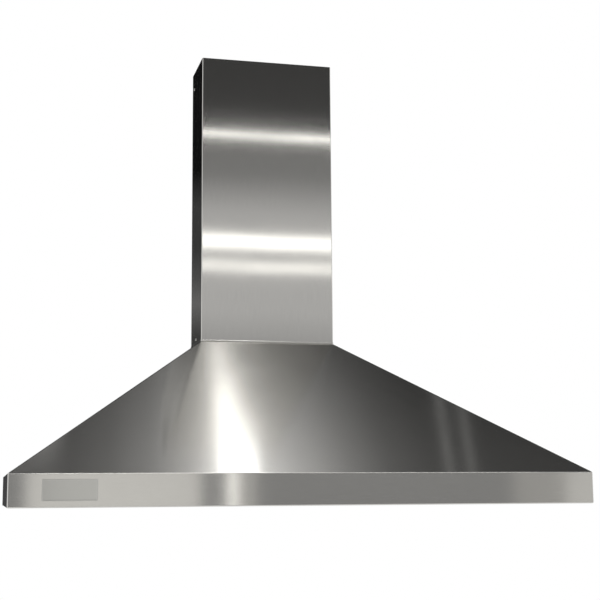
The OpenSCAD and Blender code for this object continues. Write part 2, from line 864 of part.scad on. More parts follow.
module impeller_hub() {
    color("slategray") hung() difference() {
        union() {
            rod_x(disc_t, disc_t + hub_l, wheel_y, wheel_z, hub_r);
            rod_x(disc_t, disc_t + ring_t, wheel_y, wheel_z, 2 * hub_r);
        }
        rod_x(0, disc_t + hub_l + overrun, wheel_y, wheel_z, shaft_r);
        translate([disc_t + hub_l * 0.6, wheel_y, wheel_z]) cylinder(h = hub_r + overrun, r = set_screw_r);
    }
}

module motor_shaft() {
    color("gainsboro") hung() rod_x(-shaft_tail, shaft_nose, wheel_y, wheel_z, shaft_r);
}

// Duct spigot with its non-return damper
module duct_spigot() {
    half = spigot_r + spigot_flange;
    z = plate_top;
    color("lightsteelblue") hung() difference() {
        union() {
            box([-half, duct_y - half, z], [half, duct_y + half, z + sheet_t]);
            translate([0, duct_y, z]) cylinder(h = spigot_h, r = spigot_r);
        }
        translate([0, duct_y, z - overrun]) rotate_extrude() polygon([
            [0, 0], [spigot_in_r, 0], [spigot_in_r, damper_z - z - bead_t - flap_t + overrun],
            [spigot_in_r - bead_w, damper_z - z - flap_t + overrun],
            [spigot_in_r - bead_w, damper_z - z - flap_t / 2 - slide_gap + overrun],
            [spigot_in_r, damper_z - z - flap_t / 2 - slide_gap + overrun],
            [spigot_in_r, spigot_h + 2 * overrun], [0, spigot_h + 2 * overrun]]);
        for (s = [-1, 1])
            rod_x(-duct_d, duct_d, duct_y + s * pin_dy, damper_z, pin_r + run_gap);
    }
}

module damper_pins() {
    color("gainsboro") hung() for (s = [-1, 1])
        rod_x(-spigot_r + sheet_t / 2, spigot_r - sheet_t / 2, duct_y + s * pin_dy, damper_z, pin_r);
}

// Half-round flap with a rolled knuckle; side is -1 in front and 1 behind
module flap(side) {
    r = spigot_in_r - flap_gap;
    k = spigot_in_r - knuckle_end;
    translate([0, duct_y, damper_z]) difference() {
        union() {
            translate([0, 0, -flap_t / 2]) intersection() {
                cylinder(h = flap_t, r = r);
                translate([-duct_d, side > 0 ? pin_dy : -duct_d, 0])
                    cube([2 * duct_d, duct_d - pin_dy, flap_t]);
            }
            rod_x(-k, k, side * pin_dy, 0, knuckle_r);
        }
        rod_x(-duct_d, duct_d, side * pin_dy, 0, pin_r + run_gap);
    }
}

module damper_flap_front() {
    color("gray") hung() flap(-1);
}

module damper_flap_rear() {
    color("gray") hung() flap(1);
}

// Electrics on the back panel
module junction_box() {
    color("whitesmoke") hung() difference() {
        box([box_x, -sheet_t - box_d, box_z], [box_x + box_w, -sheet_t, box_z + box_h]);
        box([box_x + box_wall, -sheet_t - box_d - overrun, box_z + box_wall],
            [box_x + box_w - box_wall, -sheet_t - box_wall, box_z + box_h - box_wall]);
        for (s = entry_shares)
            translate([box_x + box_w * s, -sheet_t - box_d / 2, box_z + box_h / 2])
                cylinder(h = box_h, r = grommet_bore_r);
    }
}

module junction_lid() {
    y = -sheet_t - box_d;
    color("white") hung() difference() {
        union() {
            box([box_x, y - box_wall, box_z], [box_x + box_w, y, box_z + box_h]);
            box([box_x + box_wall + slide_gap, y, box_z + box_wall + slide_gap],
                [box_x + box_w - box_wall - slide_gap, y + box_wall, box_z + box_h - box_wall - slide_gap]);
        }
        box([box_x + 2 * box_wall + slide_gap, y, box_z + 2 * box_wall + slide_gap],
            [box_x + box_w - 2 * box_wall - slide_gap, y + 2 * box_wall,
                box_z + box_h - 2 * box_wall - slide_gap]);
    }
}

module terminal_block() {
    w = term_ways * term_pitch;
    y = -sheet_t - box_wall;
    color("ivory") hung() translate([box_x + box_w / 2 - w / 2, y, box_z + box_h / 3]) difference() {
        box([0, -term_h, 0], [w, 0, term_d]);
        for (k = [0 : term_ways - 1], z = [term_d * 0.25, term_d * 0.75])
            translate([(k + 0.5) * term_pitch, -term_h * 0.6, z]) rotate([90, 0, 0])
                cylinder(h = term_h, r = term_screw_r);
        for (k = [1 : term_ways - 1])
            box([k * term_pitch - term_slot / 2, -term_h - overrun, -overrun],
                [k * term_pitch + term_slot / 2, -term_h * 0.7, term_d + overrun]);
    }
}

// Run capacitor lying in a strap on the back panel
module capacitor() {
    x = box_x + box_w / 2;
    y = -sheet_t - cap_r - strap_t;
    color("lightgray") hung() union() {
        rod_x(x - cap_l / 2, x + cap_l / 2, y, cap_z, cap_r);
        rod_x(x + cap_l / 2, x + cap_l / 2 + strap_tab / 2, y, cap_z, cap_r / 2);
        difference() {
            union() {
                rod_x(x - strap_w / 2, x + strap_w / 2, y, cap_z, cap_r + strap_t);
                box([x - strap_w / 2, y, cap_z - cap_r - strap_t - strap_tab],
                    [x + strap_w / 2, -sheet_t, cap_z + cap_r + strap_t]);
            }
            box([x - strap_w, y - cap_r, cap_z - 2 * cap_r - strap_tab],
                [x + strap_w, -sheet_t - strap_t, cap_z - cap_r]);
        }
    }
}

module cable_grommet() {
    rim = grommet_hole_r + grommet_rim;
    color("black") hung() translate([grommet_x, duct_y, top_z]) rotate_extrude() polygon([
        [grommet_bore_r, -grommet_t], [rim - grommet_t / 2, -grommet_t], [rim, 0],
        [grommet_hole_r, 0], [grommet_hole_r, sheet_t], [rim, sheet_t],
        [rim - grommet_t / 2, sheet_t + grommet_t], [grommet_bore_r, sheet_t + grommet_t]]);
}

// Lamps in the deck
module lamp_places() {
    for (s = [-1, 1])
        translate([s * lamp_dx, deck_y, recess_z]) children();
}

module lamp_bezels() {
    color("silver") hung() lamp_places() rotate_extrude() polygon([
        [lens_r - bezel_t, -bezel_t], [lamp_r + bezel_w - bezel_t, -bezel_t],
        [lamp_r + bezel_w, -bezel_t / 4], [lamp_r + bezel_w, 0], [lamp_r - slide_gap, 0],
        [lamp_r - slide_gap, lamp_neck], [lens_r, lamp_neck], [lens_r, 0], [lens_r - bezel_t, 0]]);
}

module lamp_lenses() {
    color("azure") hung() lamp_places() difference() {
        cylinder(h = lens_t, r = lens_r - run_gap);
        translate([0, 0, lens_t / 2]) cylinder(h = lens_t, r = lens_r - bezel_t * 2);
    }
}

module lamp_bodies() {
    core = lens_r - fin_d;
    step = (lamp_h - lamp_neck) / fin_count;
    color("dimgray") hung() lamp_places() union() {
        translate([0, 0, lens_t]) cylinder(h = lamp_h - lens_t, r = core);
        translate([0, 0, lens_t]) cylinder(h = lamp_neck - lens_t, r = lens_r - run_gap);
        for (k = [0 : fin_count - 1])
            translate([0, 0, lamp_neck + k * step]) cylinder(h = fin_t, r = lamp_r + bezel_t);
    }
}

module led_driver() {
    z = recess_z + sheet_t;
    color("whitesmoke") hung() union() {
        box([driver_x, deck_y - driver_d / 2, z], [driver_x + driver_w, deck_y + driver_d / 2, z + driver_h]);
        box([driver_x - foot_w, deck_y - driver_d / 4, z],
            [driver_x + driver_w + foot_w, deck_y + driver_d / 4, z + 2 * sheet_t]);
    }
}

// Controls in the middle of the deck
module control_plate() {
    z = recess_z - control_t;
    color("silver") hung() difference() {
        box([-control_w / 2, deck_y - control_d / 2, z], [control_w / 2, deck_y + control_d / 2, recess_z]);
        translate([knob_x, deck_y, 0]) cylinder(h = lip_h, r = spindle_r + slide_gap);
        translate([button_x, deck_y, 0]) cylinder(h = lip_h, r = button_r + slide_gap);
    }
}

module switch_box() {
    color("dimgray") hung() difference() {
        box([-switch_w / 2, deck_y - switch_d / 2, recess_z],
            [switch_w / 2, deck_y + switch_d / 2, recess_z + switch_h]);
        translate([knob_x, deck_y, 0]) cylinder(h = recess_z + spindle_l, r = spindle_r + run_gap);
        translate([button_x, deck_y, 0])
            cylinder(h = recess_z + button_flange_t + button_travel + near_gap,
                r = button_r + button_flange + slide_gap);
    }
}

module speed_knob() {
    z = recess_z - control_t - slide_gap;
    color("silver") hung() translate([knob_x, deck_y, z]) difference() {
        rotate_extrude() polygon([[spindle_r, 0], [knob_r, 0], [knob_r, -knob_h * 0.8],
            [knob_r - knob_h * 0.2, -knob_h], [0, -knob_h], [0, -knob_h * 0.4], [spindle_r, -knob_h * 0.4]]);
        for (k = [1 : knob_grooves - 1])
            rotate(k * 360 / knob_grooves) translate([knob_r + groove_r / 2, 0, -2 * knob_h])
                cylinder(h = 3 * knob_h, r = groove_r);
    }
}

module knob_spindle() {
    z = recess_z - control_t - slide_gap;
    color("gainsboro") hung() translate([knob_x, deck_y, z - knob_h * 0.4])
        cylinder(h = spindle_l + knob_h * 0.4, r = spindle_r);
}

module light_button() {
    color("silver") hung() translate([button_x, deck_y, 0]) union() {
        translate([0, 0, recess_z - control_t - button_drop])
            cylinder(h = control_t + button_drop + slide_gap, r = button_r);
        translate([0, 0, recess_z + slide_gap])
            cylinder(h = button_flange_t, r = button_r + button_flange);
    }
}

front_panel();
left_panel();
right_panel();
back_panel();
top_plate();
chimney_cover();
chimney_bracket();
chimney_screws();
control_deck();
rear_rail();
left_end_rail();
right_end_rail();
left_divider();
right_divider();
hinge_rods();
blower_wrapper();
blower_side_left();
blower_side_right();
inlet_ring_left();
inlet_ring_right();
motor();
motor_cradle();
blower_screws();
impeller_disc();
impeller_rings();
impeller_blades();
impeller_hub();
motor_shaft();
duct_spigot();
damper_pins();
damper_flap_front();
damper_flap_rear();
junction_box();
junction_lid();
terminal_block();
capacitor();
cable_grommet();
lamp_bezels();
lamp_lenses();
lamp_bodies();
led_driver();
control_plate();
switch_box();
speed_knob();
knob_spindle();
light_button();
left_filter_frame();
left_filter_lower_baffles();
left_filter_upper_baffles();
left_filter_latch();
middle_filter_frame();
middle_filter_lower_baffles();
middle_filter_upper_baffles();
middle_filter_latch();
right_filter_frame();
right_filter_lower_baffles();
right_filter_upper_baffles();
right_filter_latch();
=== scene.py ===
import json
import math

import bmesh
import bpy
from mathutils import Matrix, Vector


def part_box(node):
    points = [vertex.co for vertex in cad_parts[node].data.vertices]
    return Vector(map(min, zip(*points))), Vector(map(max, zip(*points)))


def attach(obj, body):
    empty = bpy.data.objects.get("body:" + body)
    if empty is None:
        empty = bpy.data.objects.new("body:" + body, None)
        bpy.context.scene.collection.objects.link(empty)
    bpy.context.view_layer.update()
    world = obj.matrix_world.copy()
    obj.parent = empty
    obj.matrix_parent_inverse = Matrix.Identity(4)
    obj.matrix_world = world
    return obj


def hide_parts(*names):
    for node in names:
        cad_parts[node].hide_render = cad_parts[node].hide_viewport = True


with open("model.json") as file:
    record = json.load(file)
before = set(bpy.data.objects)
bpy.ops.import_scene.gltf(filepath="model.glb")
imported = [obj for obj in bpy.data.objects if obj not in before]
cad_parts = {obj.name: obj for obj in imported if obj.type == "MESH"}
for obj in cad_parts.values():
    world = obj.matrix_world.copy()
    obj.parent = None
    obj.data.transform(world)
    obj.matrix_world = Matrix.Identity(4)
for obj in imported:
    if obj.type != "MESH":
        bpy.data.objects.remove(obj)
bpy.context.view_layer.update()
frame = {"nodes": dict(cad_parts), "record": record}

scene = bpy.context.scene

# Camera, just above the lip's lower edge and left of the hood
camera = {
    "place": (-0.63947, -3.07282, -0.17223),
    "yaw": 0.24098,
    "pitch": 0.1496,
    "roll": -0.00627,
    "lens": 76.286,
    "sensor": 36,
    "clipEnd": 60,
}


def addCamera(facts):
    yaw, pitch, roll = facts["yaw"], facts["pitch"], facts["roll"]
    ahead = Vector((math.sin(yaw) * math.cos(pitch), math.cos(yaw) * math.cos(pitch), math.sin(pitch)))
    right = Vector((math.cos(yaw), -math.sin(yaw), 0))
    up = right.cross(ahead)
    tiltedRight = math.cos(roll) * right + math.sin(roll) * up
    tiltedUp = -math.sin(roll) * right + math.cos(roll) * up
    data = bpy.data.cameras.new("hoodCamera")
    data.sensor_width = facts["sensor"]
    data.lens = facts["lens"]
    data.clip_end = facts["clipEnd"]
    made = bpy.data.objects.new("hoodCamera", data)
    scene.collection.objects.link(made)
    turn = Matrix((tiltedRight, tiltedUp, -ahead)).transposed()
    made.matrix_world = Matrix.Translation(facts["place"]) @ turn.to_4x4()
    bpy.context.scene.camera = made


addCamera(camera)
scene.view_settings.view_transform = "Standard"
print("camera placed")


# Small helpers for node trees and meshes
def newTree(name):
    made = bpy.data.materials.new(name)
    made.use_nodes = True
    tree = made.node_tree
    tree.nodes.clear()
    return made, tree


def addNode(tree, kind, **settings):
    node = tree.nodes.new(kind)
    for key, value in settings.items():
        node.inputs[key].default_value = value
    return node


def ramp(tree, source, stops):
    node = tree.nodes.new("ShaderNodeValToRGB")
    elements = node.color_ramp.elements
    while len(elements) < len(stops):
        elements.new(0.5)
    for element, (place, tone) in zip(elements, stops):
        element.position = place
        element.color = (tone, tone, tone, 1)
    tree.links.new(source, node.inputs[0])
    return node.outputs[0]


def spread(tree, source, low, high, fromLow=0.3, fromHigh=0.7):
    node = addNode(tree, "ShaderNodeMapRange")
    node.inputs["From Min"].default_value = fromLow
    node.inputs["From Max"].default_value = fromHigh
    node.inputs["To Min"].default_value = low
    node.inputs["To Max"].default_value = high
    tree.links.new(source, node.inputs["Value"])
    return node.outputs[0]


def mathNode(tree, operation, first, second=None, third=None):
    node = tree.nodes.new("ShaderNodeMath")
    node.operation = operation
    for socket, value in zip(node.inputs, (first, second, third)):
        if value is None:
            continue
        if isinstance(value, (int, float)):
            socket.default_value = value
        else:
            tree.links.new(value, socket)
    return node.outputs[0]


def mixTones(tree, factor, first, second):
    node = tree.nodes.new("ShaderNodeMix")
    node.data_type = "RGBA"
    tree.links.new(factor, node.inputs[0])
    for socket, value in ((node.inputs[6], first), (node.inputs[7], second)):
        if isinstance(value, tuple):
            socket.default_value = (*value, 1)
        else:
            tree.links.new(value, socket)
    return node.outputs[2]


def noise(tree, coordinates, scale, detail=2.0, stretch=(1, 1, 1), roughness=0.5, offset=(0, 0, 0)):
    mapping = tree.nodes.new("ShaderNodeMapping")
    mapping.inputs["Scale"].default_value = stretch
    mapping.inputs["Location"].default_value = offset
    tree.links.new(coordinates, mapping.inputs[0])
    node = addNode(tree, "ShaderNodeTexNoise", Scale=scale, Detail=detail, Roughness=roughness)
    tree.links.new(mapping.outputs[0], node.inputs["Vector"])
    return node.outputs[0]


def shaderOut(tree, **sockets):
    shader = tree.nodes.new("ShaderNodeBsdfPrincipled")
    for key, value in sockets.items():
        socket = shader.inputs[key.replace("_", " ")]
        if isinstance(value, (int, float)):
            socket.default_value = value
        else:
            tree.links.new(value, socket)
    out = tree.nodes.new("ShaderNodeOutputMaterial")
    tree.links.new(shader.outputs[0], out.inputs[0])
    return shader


def bump(tree, height, distance, strength, below=None):
    node = addNode(tree, "ShaderNodeBump", Strength=strength, Distance=distance)
    tree.links.new(height, node.inputs["Height"])
    if below is not None:
        tree.links.new(below, node.inputs["Normal"])
    return node.outputs[0]


sharpDegrees = 35            # folds steeper than this keep a sharp edge


def meshPiece(name, points, faces, uvs=None, body="root", sharp=sharpDegrees):
    mesh = bpy.data.meshes.new(name)
    mesh.from_pydata([tuple(p) for p in points], [], faces)
    mesh.update()
    if uvs:
        layer = mesh.uv_layers.new(name="grain")
        for loop in mesh.loops:
            layer.data[loop.index].uv = uvs[loop.vertex_index]
    mesh.shade_smooth()
    mesh.set_sharp_from_angle(angle=math.radians(sharp))
    made = bpy.data.objects.new(name, mesh)
    scene.collection.objects.link(made)
    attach(made, body)
    return made


def weighNormals(piece):
    modifier = piece.modifiers.new("evenShading", "WEIGHTED_NORMAL")
    modifier.mode = "FACE_AREA"
    modifier.keep_sharp = True


def finishWith(piece, material):
    piece.data.materials.clear()
    piece.data.materials.append(material)


# Canopy: three folded panels that meet on rounded corners
canopy = {
    "halfWidth": 0.6,
    "depth": 0.6,
    "bottom": -0.2,
    "lipHeight": 0.065,
    "rise": 0.312,
    "collarHalf": 0.16,
    "collarDepth": 0.15,
    "sheet": 0.001,
    "fold": 0.0025,
    "corner": 0.003,
    "lipReturn": 0.03,
    "topFlange": 0.005,
    "foldSteps": 8,
    "cornerSteps": 6,
}


# Bent line with rounded folds: each point with the direction of the sheet's inner face
def foldedPath(corners, radius, steps):
    corners = [Vector(c) for c in corners]
    first = (corners[1] - corners[0]).normalized()
    last = (corners[-1] - corners[-2]).normalized()
    made = [(corners[0], Vector((-first.y, first.x)))]
    for before, corner, after in zip(corners, corners[1:], corners[2:]):
        coming = (corner - before).normalized()
        going = (after - corner).normalized()
        angle = math.atan2(coming.x * going.y - coming.y * going.x, coming.dot(going))
        side = Vector((-coming.y, coming.x))
        arm = side * math.copysign(radius, angle)
        centre = corner - coming * radius * math.tan(abs(angle) / 2) + arm
        for k in range(steps + 1):
            spin = Matrix.Rotation(angle * k / steps, 2)
            made.append((centre - spin @ arm, spin @ side))
    made.append((corners[-1], Vector((-last.y, last.x))))
    return made


def panelPath(outer, inner, returnWidth, flange):
    lip = canopy["lipHeight"]
    top = lip + canopy["rise"]
    corners = [(-inner + flange, top), (-inner, top), (-outer, lip), (-outer, 0), (-outer + returnWidth, 0)]
    return foldedPath(corners, canopy["fold"], canopy["foldSteps"])


def cornerArc(low, high, steps):
    return [low + (high - low) * k / steps for k in range(steps + 1)]


# For each point of the fold: half width, depth, height at the sides and height in front
def canopyRows(thickness):
    c = canopy
    runFront = c["depth"] - c["collarDepth"]
    runSide = c["halfWidth"] - c["collarHalf"]
    share = runSide / runFront
    front = panelPath(c["depth"], c["collarDepth"], c["lipReturn"], c["topFlange"])
    side = panelPath(c["halfWidth"], c["collarHalf"], c["lipReturn"] * share, c["topFlange"] * share)
    rows = []
    for (frontPoint, frontNormal), (sidePoint, sideNormal) in zip(front, side):
        frontAt = frontPoint + frontNormal * thickness
        sideAt = sidePoint + sideNormal * thickness
        rows.append((-sideAt.x, -frontAt.x, sideAt.y + c["bottom"], frontAt.y + c["bottom"]))
    return rows


# Place on the rounded corner, from 0 at the side to a quarter turn at the front
def planPoint(row, angle, radius):
    halfWidth, depth, sideZ, frontZ = row
    share = angle / (math.pi / 2)
    return Vector((
        halfWidth - radius + radius * math.cos(angle),
        -(depth - radius + radius * math.sin(angle)),
        sideZ + (frontZ - sideZ) * share,
    ))


def canopyColumns(part, thickness):
    radius = canopy["corner"] - thickness
    quarter = math.pi / 2
    steps = canopy["cornerSteps"]
    grid = []
    for row in canopyRows(thickness):
        if part == "front":
            rightArc = [planPoint(row, a, radius) for a in cornerArc(quarter / 2, quarter, steps)]
            line = rightArc + [Vector((-p.x, p.y, p.z)) for p in reversed(rightArc)]
            line.reverse()
        else:
            arc = [planPoint(row, a, radius) for a in cornerArc(0, quarter / 2, steps)]
            line = [Vector((row[0], -canopy["sheet"], row[2]))] + arc
            if part == "left":
                line = [Vector((-p.x, p.y, p.z)) for p in line]
        grid.append(line)
    return grid


def lengths(points):
    total, made = 0.0, [0.0]
    for a, b in zip(points, points[1:]):
        total += (b - a).length
        made.append(total)
    return made


# Closed sheet between an outer and an inner grid of points, with its own lengths as UVs
def sheetPiece(name, outer, inner, flip=False):
    rows, columns = len(outer), len(outer[0])
    across = lengths([line[columns // 2] for line in outer])
    along = lengths(outer[rows // 2])
    points = [p for line in outer for p in line] + [p for line in inner for p in line]
    uvs = [(along[j], across[i]) for i in range(rows) for j in range(columns)] * 2
    base = rows * columns
    faces = []
    for i in range(rows - 1):
        for j in range(columns - 1):
            a, b = i * columns + j, i * columns + j + 1
            c, d = b + columns, a + columns
            faces += [(a, b, c, d), (base + d, base + c, base + b, base + a)]
    for j in range(columns - 1):
        a, b = j, j + 1
        faces.append((base + a, base + b, b, a))
        a, b = (rows - 1) * columns + j, (rows - 1) * columns + j + 1
        faces.append((a, b, base + b, base + a))
    for i in range(rows - 1):
        a, b = i * columns, (i + 1) * columns
        faces.append((a, b, base + b, base + a))
        a, b = a + columns - 1, b + columns - 1
        faces.append((base + a, base + b, b, a))
    if flip:
        faces = [tuple(reversed(f)) for f in faces]
    made = meshPiece(name, points, faces, uvs)
    weighNormals(made)
    return made


def canopyPanel(part):
    made = sheetPiece(f"{part}_canopy_panel", canopyColumns(part, 0), canopyColumns(part, canopy["sheet"]),
                      flip=part != "right")
    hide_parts(f"{part}_panel")
    return made


canopyPanels = [canopyPanel(part) for part in ("front", "left", "right")]
print("canopy panels folded")

# Chimney cover: one sheet folded at four corners, open at the top
chimney = {
    "half": 0.16,
    "depth": 0.15,
    "foot": 0.177,
    "height": 0.69,
    "flange": 0.015,
    "sheet": 0.001,
    "fold": 0.0025,
    "rows": 40,
}


def chimneyCover():
    c = chimney
    plan = foldedPath(
        [(-c["half"] + c["flange"], 0), (-c["half"], 0), (-c["half"], -c["depth"]),
         (c["half"], -c["depth"]), (c["half"], 0), (c["half"] - c["flange"], 0)],
        c["fold"], canopy["foldSteps"])
    outer, inner = [], []
    for k in range(c["rows"] + 1):
        z = c["foot"] + c["height"] * k / c["rows"]
        outer.append([Vector((p.x, p.y, z)) for p, n in plan])
        inner.append([Vector((*(p + n * c["sheet"]), z)) for p, n in plan])
    made = sheetPiece("chimney_cover_sheet", outer, inner)
    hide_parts("chimney_cover")
    return made


cover = chimneyCover()
print("chimney cover folded")

# Rolled hem along the chimney's foot, a slim bead that catches the light
hem = {
    "gap": 0.0006,
    "height": 0.0034,
    "proud": 0.0011,
    "sunk": 0.0001,
    "steps": 8,
}


def chimneyHem():
    c, h = chimney, hem
    back = -c["sheet"]
    plan = foldedPath(
        [(-c["half"], back), (-c["half"], -c["depth"]), (c["half"], -c["depth"]), (c["half"], back)],
        c["fold"], canopy["foldSteps"])
    count = h["steps"] + 1
    points, uvs, faces = [], [], []
    along = lengths([p for p, n in plan])
    for at, (p, n) in zip(along, plan):
        for k in range(count):
            angle = math.pi * k / h["steps"]
            out = h["proud"] * math.sin(angle) - h["sunk"]
            z = c["foot"] + h["gap"] + h["height"] * (1 - math.cos(angle)) / 2
            points.append(Vector((*(p - n * out), z)))
            uvs.append((at, z))
    for i in range(len(plan) - 1):
        for k in range(count):
            a, b = i * count + k, i * count + (k + 1) % count
            faces.append((a, a + count, b + count, b))
    faces.append(tuple(range(count)))
    faces.append(tuple((len(plan) - 1) * count + k for k in reversed(range(count))))
    return meshPiece("chimney_hem", points, faces, uvs)


footHem = chimneyHem()
print("chimney hem rolled")

# Bare plate on the left of the lip, let into a shallow pressed seat so that it ends flush
plate = {
    "left": -0.536,
    "right": -0.431,
    "low": -0.187,
    "high": -0.146,
    "thick": 0.0008,         # and the depth of its seat
    "corner": 0.0015,
    "leastCorner": 0.0004,
    "rim": 0.0016,
    "bevel": 0.0003,
    "bevelFrom": 0.7,        # share of the height
    "sharpDegrees": 12,
    "gap": 0.0004,           # all round, to the seat
    "wallLean": 0.0001,
    "cutWithin": 0.000001,
    "nearFace": 0.00001,     # faces this close to the lip's front
    "facing": -0.9,          # and facing forwards at least this much are pressed in
}


def roundedLoop(width, height, radius, steps=5):
    made = []
    for k, (sx, sy) in enumerate(((1, 1), (-1, 1), (-1, -1), (1, -1))):
        for step in range(steps + 1):
            angle = math.pi / 2 * (k + step / steps)
            made.append((sx * (width / 2 - radius) + radius * math.cos(angle),
                         sy * (height / 2 - radius) + radius * math.sin(angle)))
    return made


def barePlate():
    p = plate
    width, height = p["right"] - p["left"], p["high"] - p["low"]
    middle = Vector(((p["left"] + p["right"]) / 2, p["thick"] - canopy["depth"], (p["low"] + p["high"]) / 2))
    shoulder = p["thick"] * p["bevelFrom"]
    rings = [(0, 0), (0, shoulder), (p["bevel"], p["thick"]), (p["rim"], p["thick"]),
             (p["rim"] + p["bevel"], shoulder)]
    points, faces = [], []
    for inset, rise in rings:
        corner = max(p["corner"] - inset, p["leastCorner"])
        loop = roundedLoop(width - 2 * inset, height - 2 * inset, corner)
        points += [middle + Vector((x, -rise, z)) for x, z in loop]
    count = len(points) // len(rings)
    for ring in range(len(rings) - 1):
        for k in range(count):
            a, b = ring * count + k, ring * count + (k + 1) % count
            faces.append((a, b, b + count, a + count))
    faces.append(tuple((len(rings) - 1) * count + k for k in range(count)))
    faces.append(tuple(reversed(range(count))))
    uvs = [(q.x, q.z) for q in points]
    return meshPiece("bare_lip_plate", points, faces, uvs, sharp=p["sharpDegrees"])


def pressSeat(piece):
    p, gap, face = plate, plate["gap"], -canopy["depth"]
    left, right = p["left"] - gap, p["right"] + gap
    low, high = p["low"] - gap, p["high"] + gap
    shape = bmesh.new()
    shape.from_mesh(piece.data)
    for place, normal in (((left, 0, 0), (1, 0, 0)), ((right, 0, 0), (1, 0, 0)),
                          ((0, 0, low), (0, 0, 1)), ((0, 0, high), (0, 0, 1))):
        everything = shape.verts[:] + shape.edges[:] + shape.faces[:]
        bmesh.ops.bisect_plane(shape, geom=everything, dist=p["cutWithin"], plane_co=place,
                               plane_no=normal)
    shape.normal_update()
    chosen = []
    for side in shape.faces:
        at = side.calc_center_median()
        onFace = abs(at.y - face) < p["nearFace"] and side.normal.y < p["facing"]
        if onFace and left < at.x < right and low < at.z < high:
            chosen.append(side)
    bmesh.ops.inset_region(shape, faces=chosen, thickness=p["wallLean"], depth=-p["thick"],
                           use_even_offset=True)
    shape.to_mesh(piece.data)
    shape.free()
    piece.data.set_sharp_from_angle(angle=math.radians(sharpDegrees))
    print("plate seat pressed into", len(chosen), "faces")


pressSeat(canopyPanels[0])
lipPlate = barePlate()
print("bare plate made")

# Brushed sheet: fine and coarse grain, faint smudges and the slow waves of thin sheet
brushed = {
    "canopy": {
        "tone": (0.62, 0.61, 0.585), "rough": 0.105, "grain": "uv", "turn": 0.25,
        "waves": 0.00010, "waveScale": 3.0,
    },
    "chimney": {
        "tone": (0.62, 0.61, 0.585), "rough": 0.085, "grain": "uvAcross", "turn": 0.0,
        "waves": 0.00012, "waveScale": 3.4,
    },
    "inner": {"tone": (0.60, 0.60, 0.58), "rough": 0.22, "grain": "x", "turn": 0.0, "waves": 0.0},
    "filter": {"tone": (0.64, 0.64, 0.62), "rough": 0.24, "grain": "y", "turn": 0.0, "waves": 0.0},
    "latch": {"tone": (0.45, 0.45, 0.44), "rough": 0.3, "grain": "x", "turn": 0.0, "waves": 0.0},
}
# What all brushed sheets share
grain = {
    "fine": {"scale": 22, "detail": 4, "roughness": 0.65},
    "coarse": {"scale": 5, "detail": 3, "roughness": 0.55},
    "smudge": {"scale": 4.5, "detail": 5, "roughness": 0.6},
    "wave": {"detail": 1.5, "roughness": 0.4, "stretch": (1, 1.6, 1)},
    "darker": 0.93,
    "lighter": 1.045,
    "band": (0.32, 0.68),
    "coarseShare": 0.35,
    "smudgeShare": 0.3,
    "smudgeBand": (0.45, 0.75),
    "roughBand": (0.88, 1.14),
    "smudgeRough": (-0.006, 0.016),
    "anisotropic": 0.9,
    "scratchDepth": 0.000004,
    "scratchStrength": 0.5,
}
grainStretch = {
    "uv": (1, 90, 1),
    "uvAcross": (90, 1, 1),
    "x": (1, 90, 90),
    "y": (90, 1, 90),
}


def brushedSheet(key):
    b, g = brushed[key], grain
    material, tree = newTree(f"{key}Steel")
    fromUv = b["grain"].startswith("uv")
    coordinates = tree.nodes.new("ShaderNodeTexCoord").outputs["UV" if fromUv else "Object"]
    stretch = grainStretch[b["grain"]]
    fine = noise(tree, coordinates, stretch=stretch, **g["fine"])
    coarse = noise(tree, coordinates, stretch=stretch, **g["coarse"])
    smudge = noise(tree, coordinates, **g["smudge"])
    dark = tuple(g["darker"] * t for t in b["tone"])
    light = tuple(g["lighter"] * t for t in b["tone"])
    grained = mixTones(tree, spread(tree, fine, 0, 1, *g["band"]), dark, light)
    tone = mixTones(tree, spread(tree, coarse, 0, g["coarseShare"]), grained, b["tone"])
    worn = mixTones(tree, spread(tree, smudge, 0, g["smudgeShare"], *g["smudgeBand"]), tone, dark)
    roughFine = spread(tree, fine, *[b["rough"] * share for share in g["roughBand"]])
    rough = mathNode(tree, "ADD", roughFine, spread(tree, smudge, *g["smudgeRough"]))
    shader = shaderOut(tree, Base_Color=worn, Metallic=1.0, Roughness=rough, Anisotropic=g["anisotropic"])
    shader.inputs["Anisotropic Rotation"].default_value = b["turn"]
    tangent = tree.nodes.new("ShaderNodeTangent")
    if fromUv:
        tangent.direction_type = "UV_MAP"
        tangent.uv_map = "grain"
    else:
        tangent.direction_type = "RADIAL"
        tangent.axis = b["grain"].upper()
    tree.links.new(tangent.outputs[0], shader.inputs["Tangent"])
    relief = bump(tree, fine, g["scratchDepth"], g["scratchStrength"])
    if b["waves"]:
        wave = noise(tree, coordinates, scale=b["waveScale"], **g["wave"])
        relief = bump(tree, wave, b["waves"], 1.0, relief)
    tree.links.new(relief, shader.inputs["Normal"])
    return material


steels = {key: brushedSheet(key) for key in brushed}
for piece in canopyPanels:
    finishWith(piece, steels["canopy"])
finishWith(cover, steels["chimney"])
finishWith(footHem, steels["chimney"])

# Metal of the bare plate
plateFinish = {
    "speckle": {"scale": 1400, "detail": 3},
    "streak": {"scale": 300, "detail": 3, "stretch": (1, 9, 1)},
    "tones": ((0.5, 0.5, 0.48), (0.54, 0.54, 0.52)),
    "rough": (0.13, 0.17),
    "streakRough": (-0.01, 0.01),
    "relief": 0.00001,
    "reliefStrength": 0.4,
}


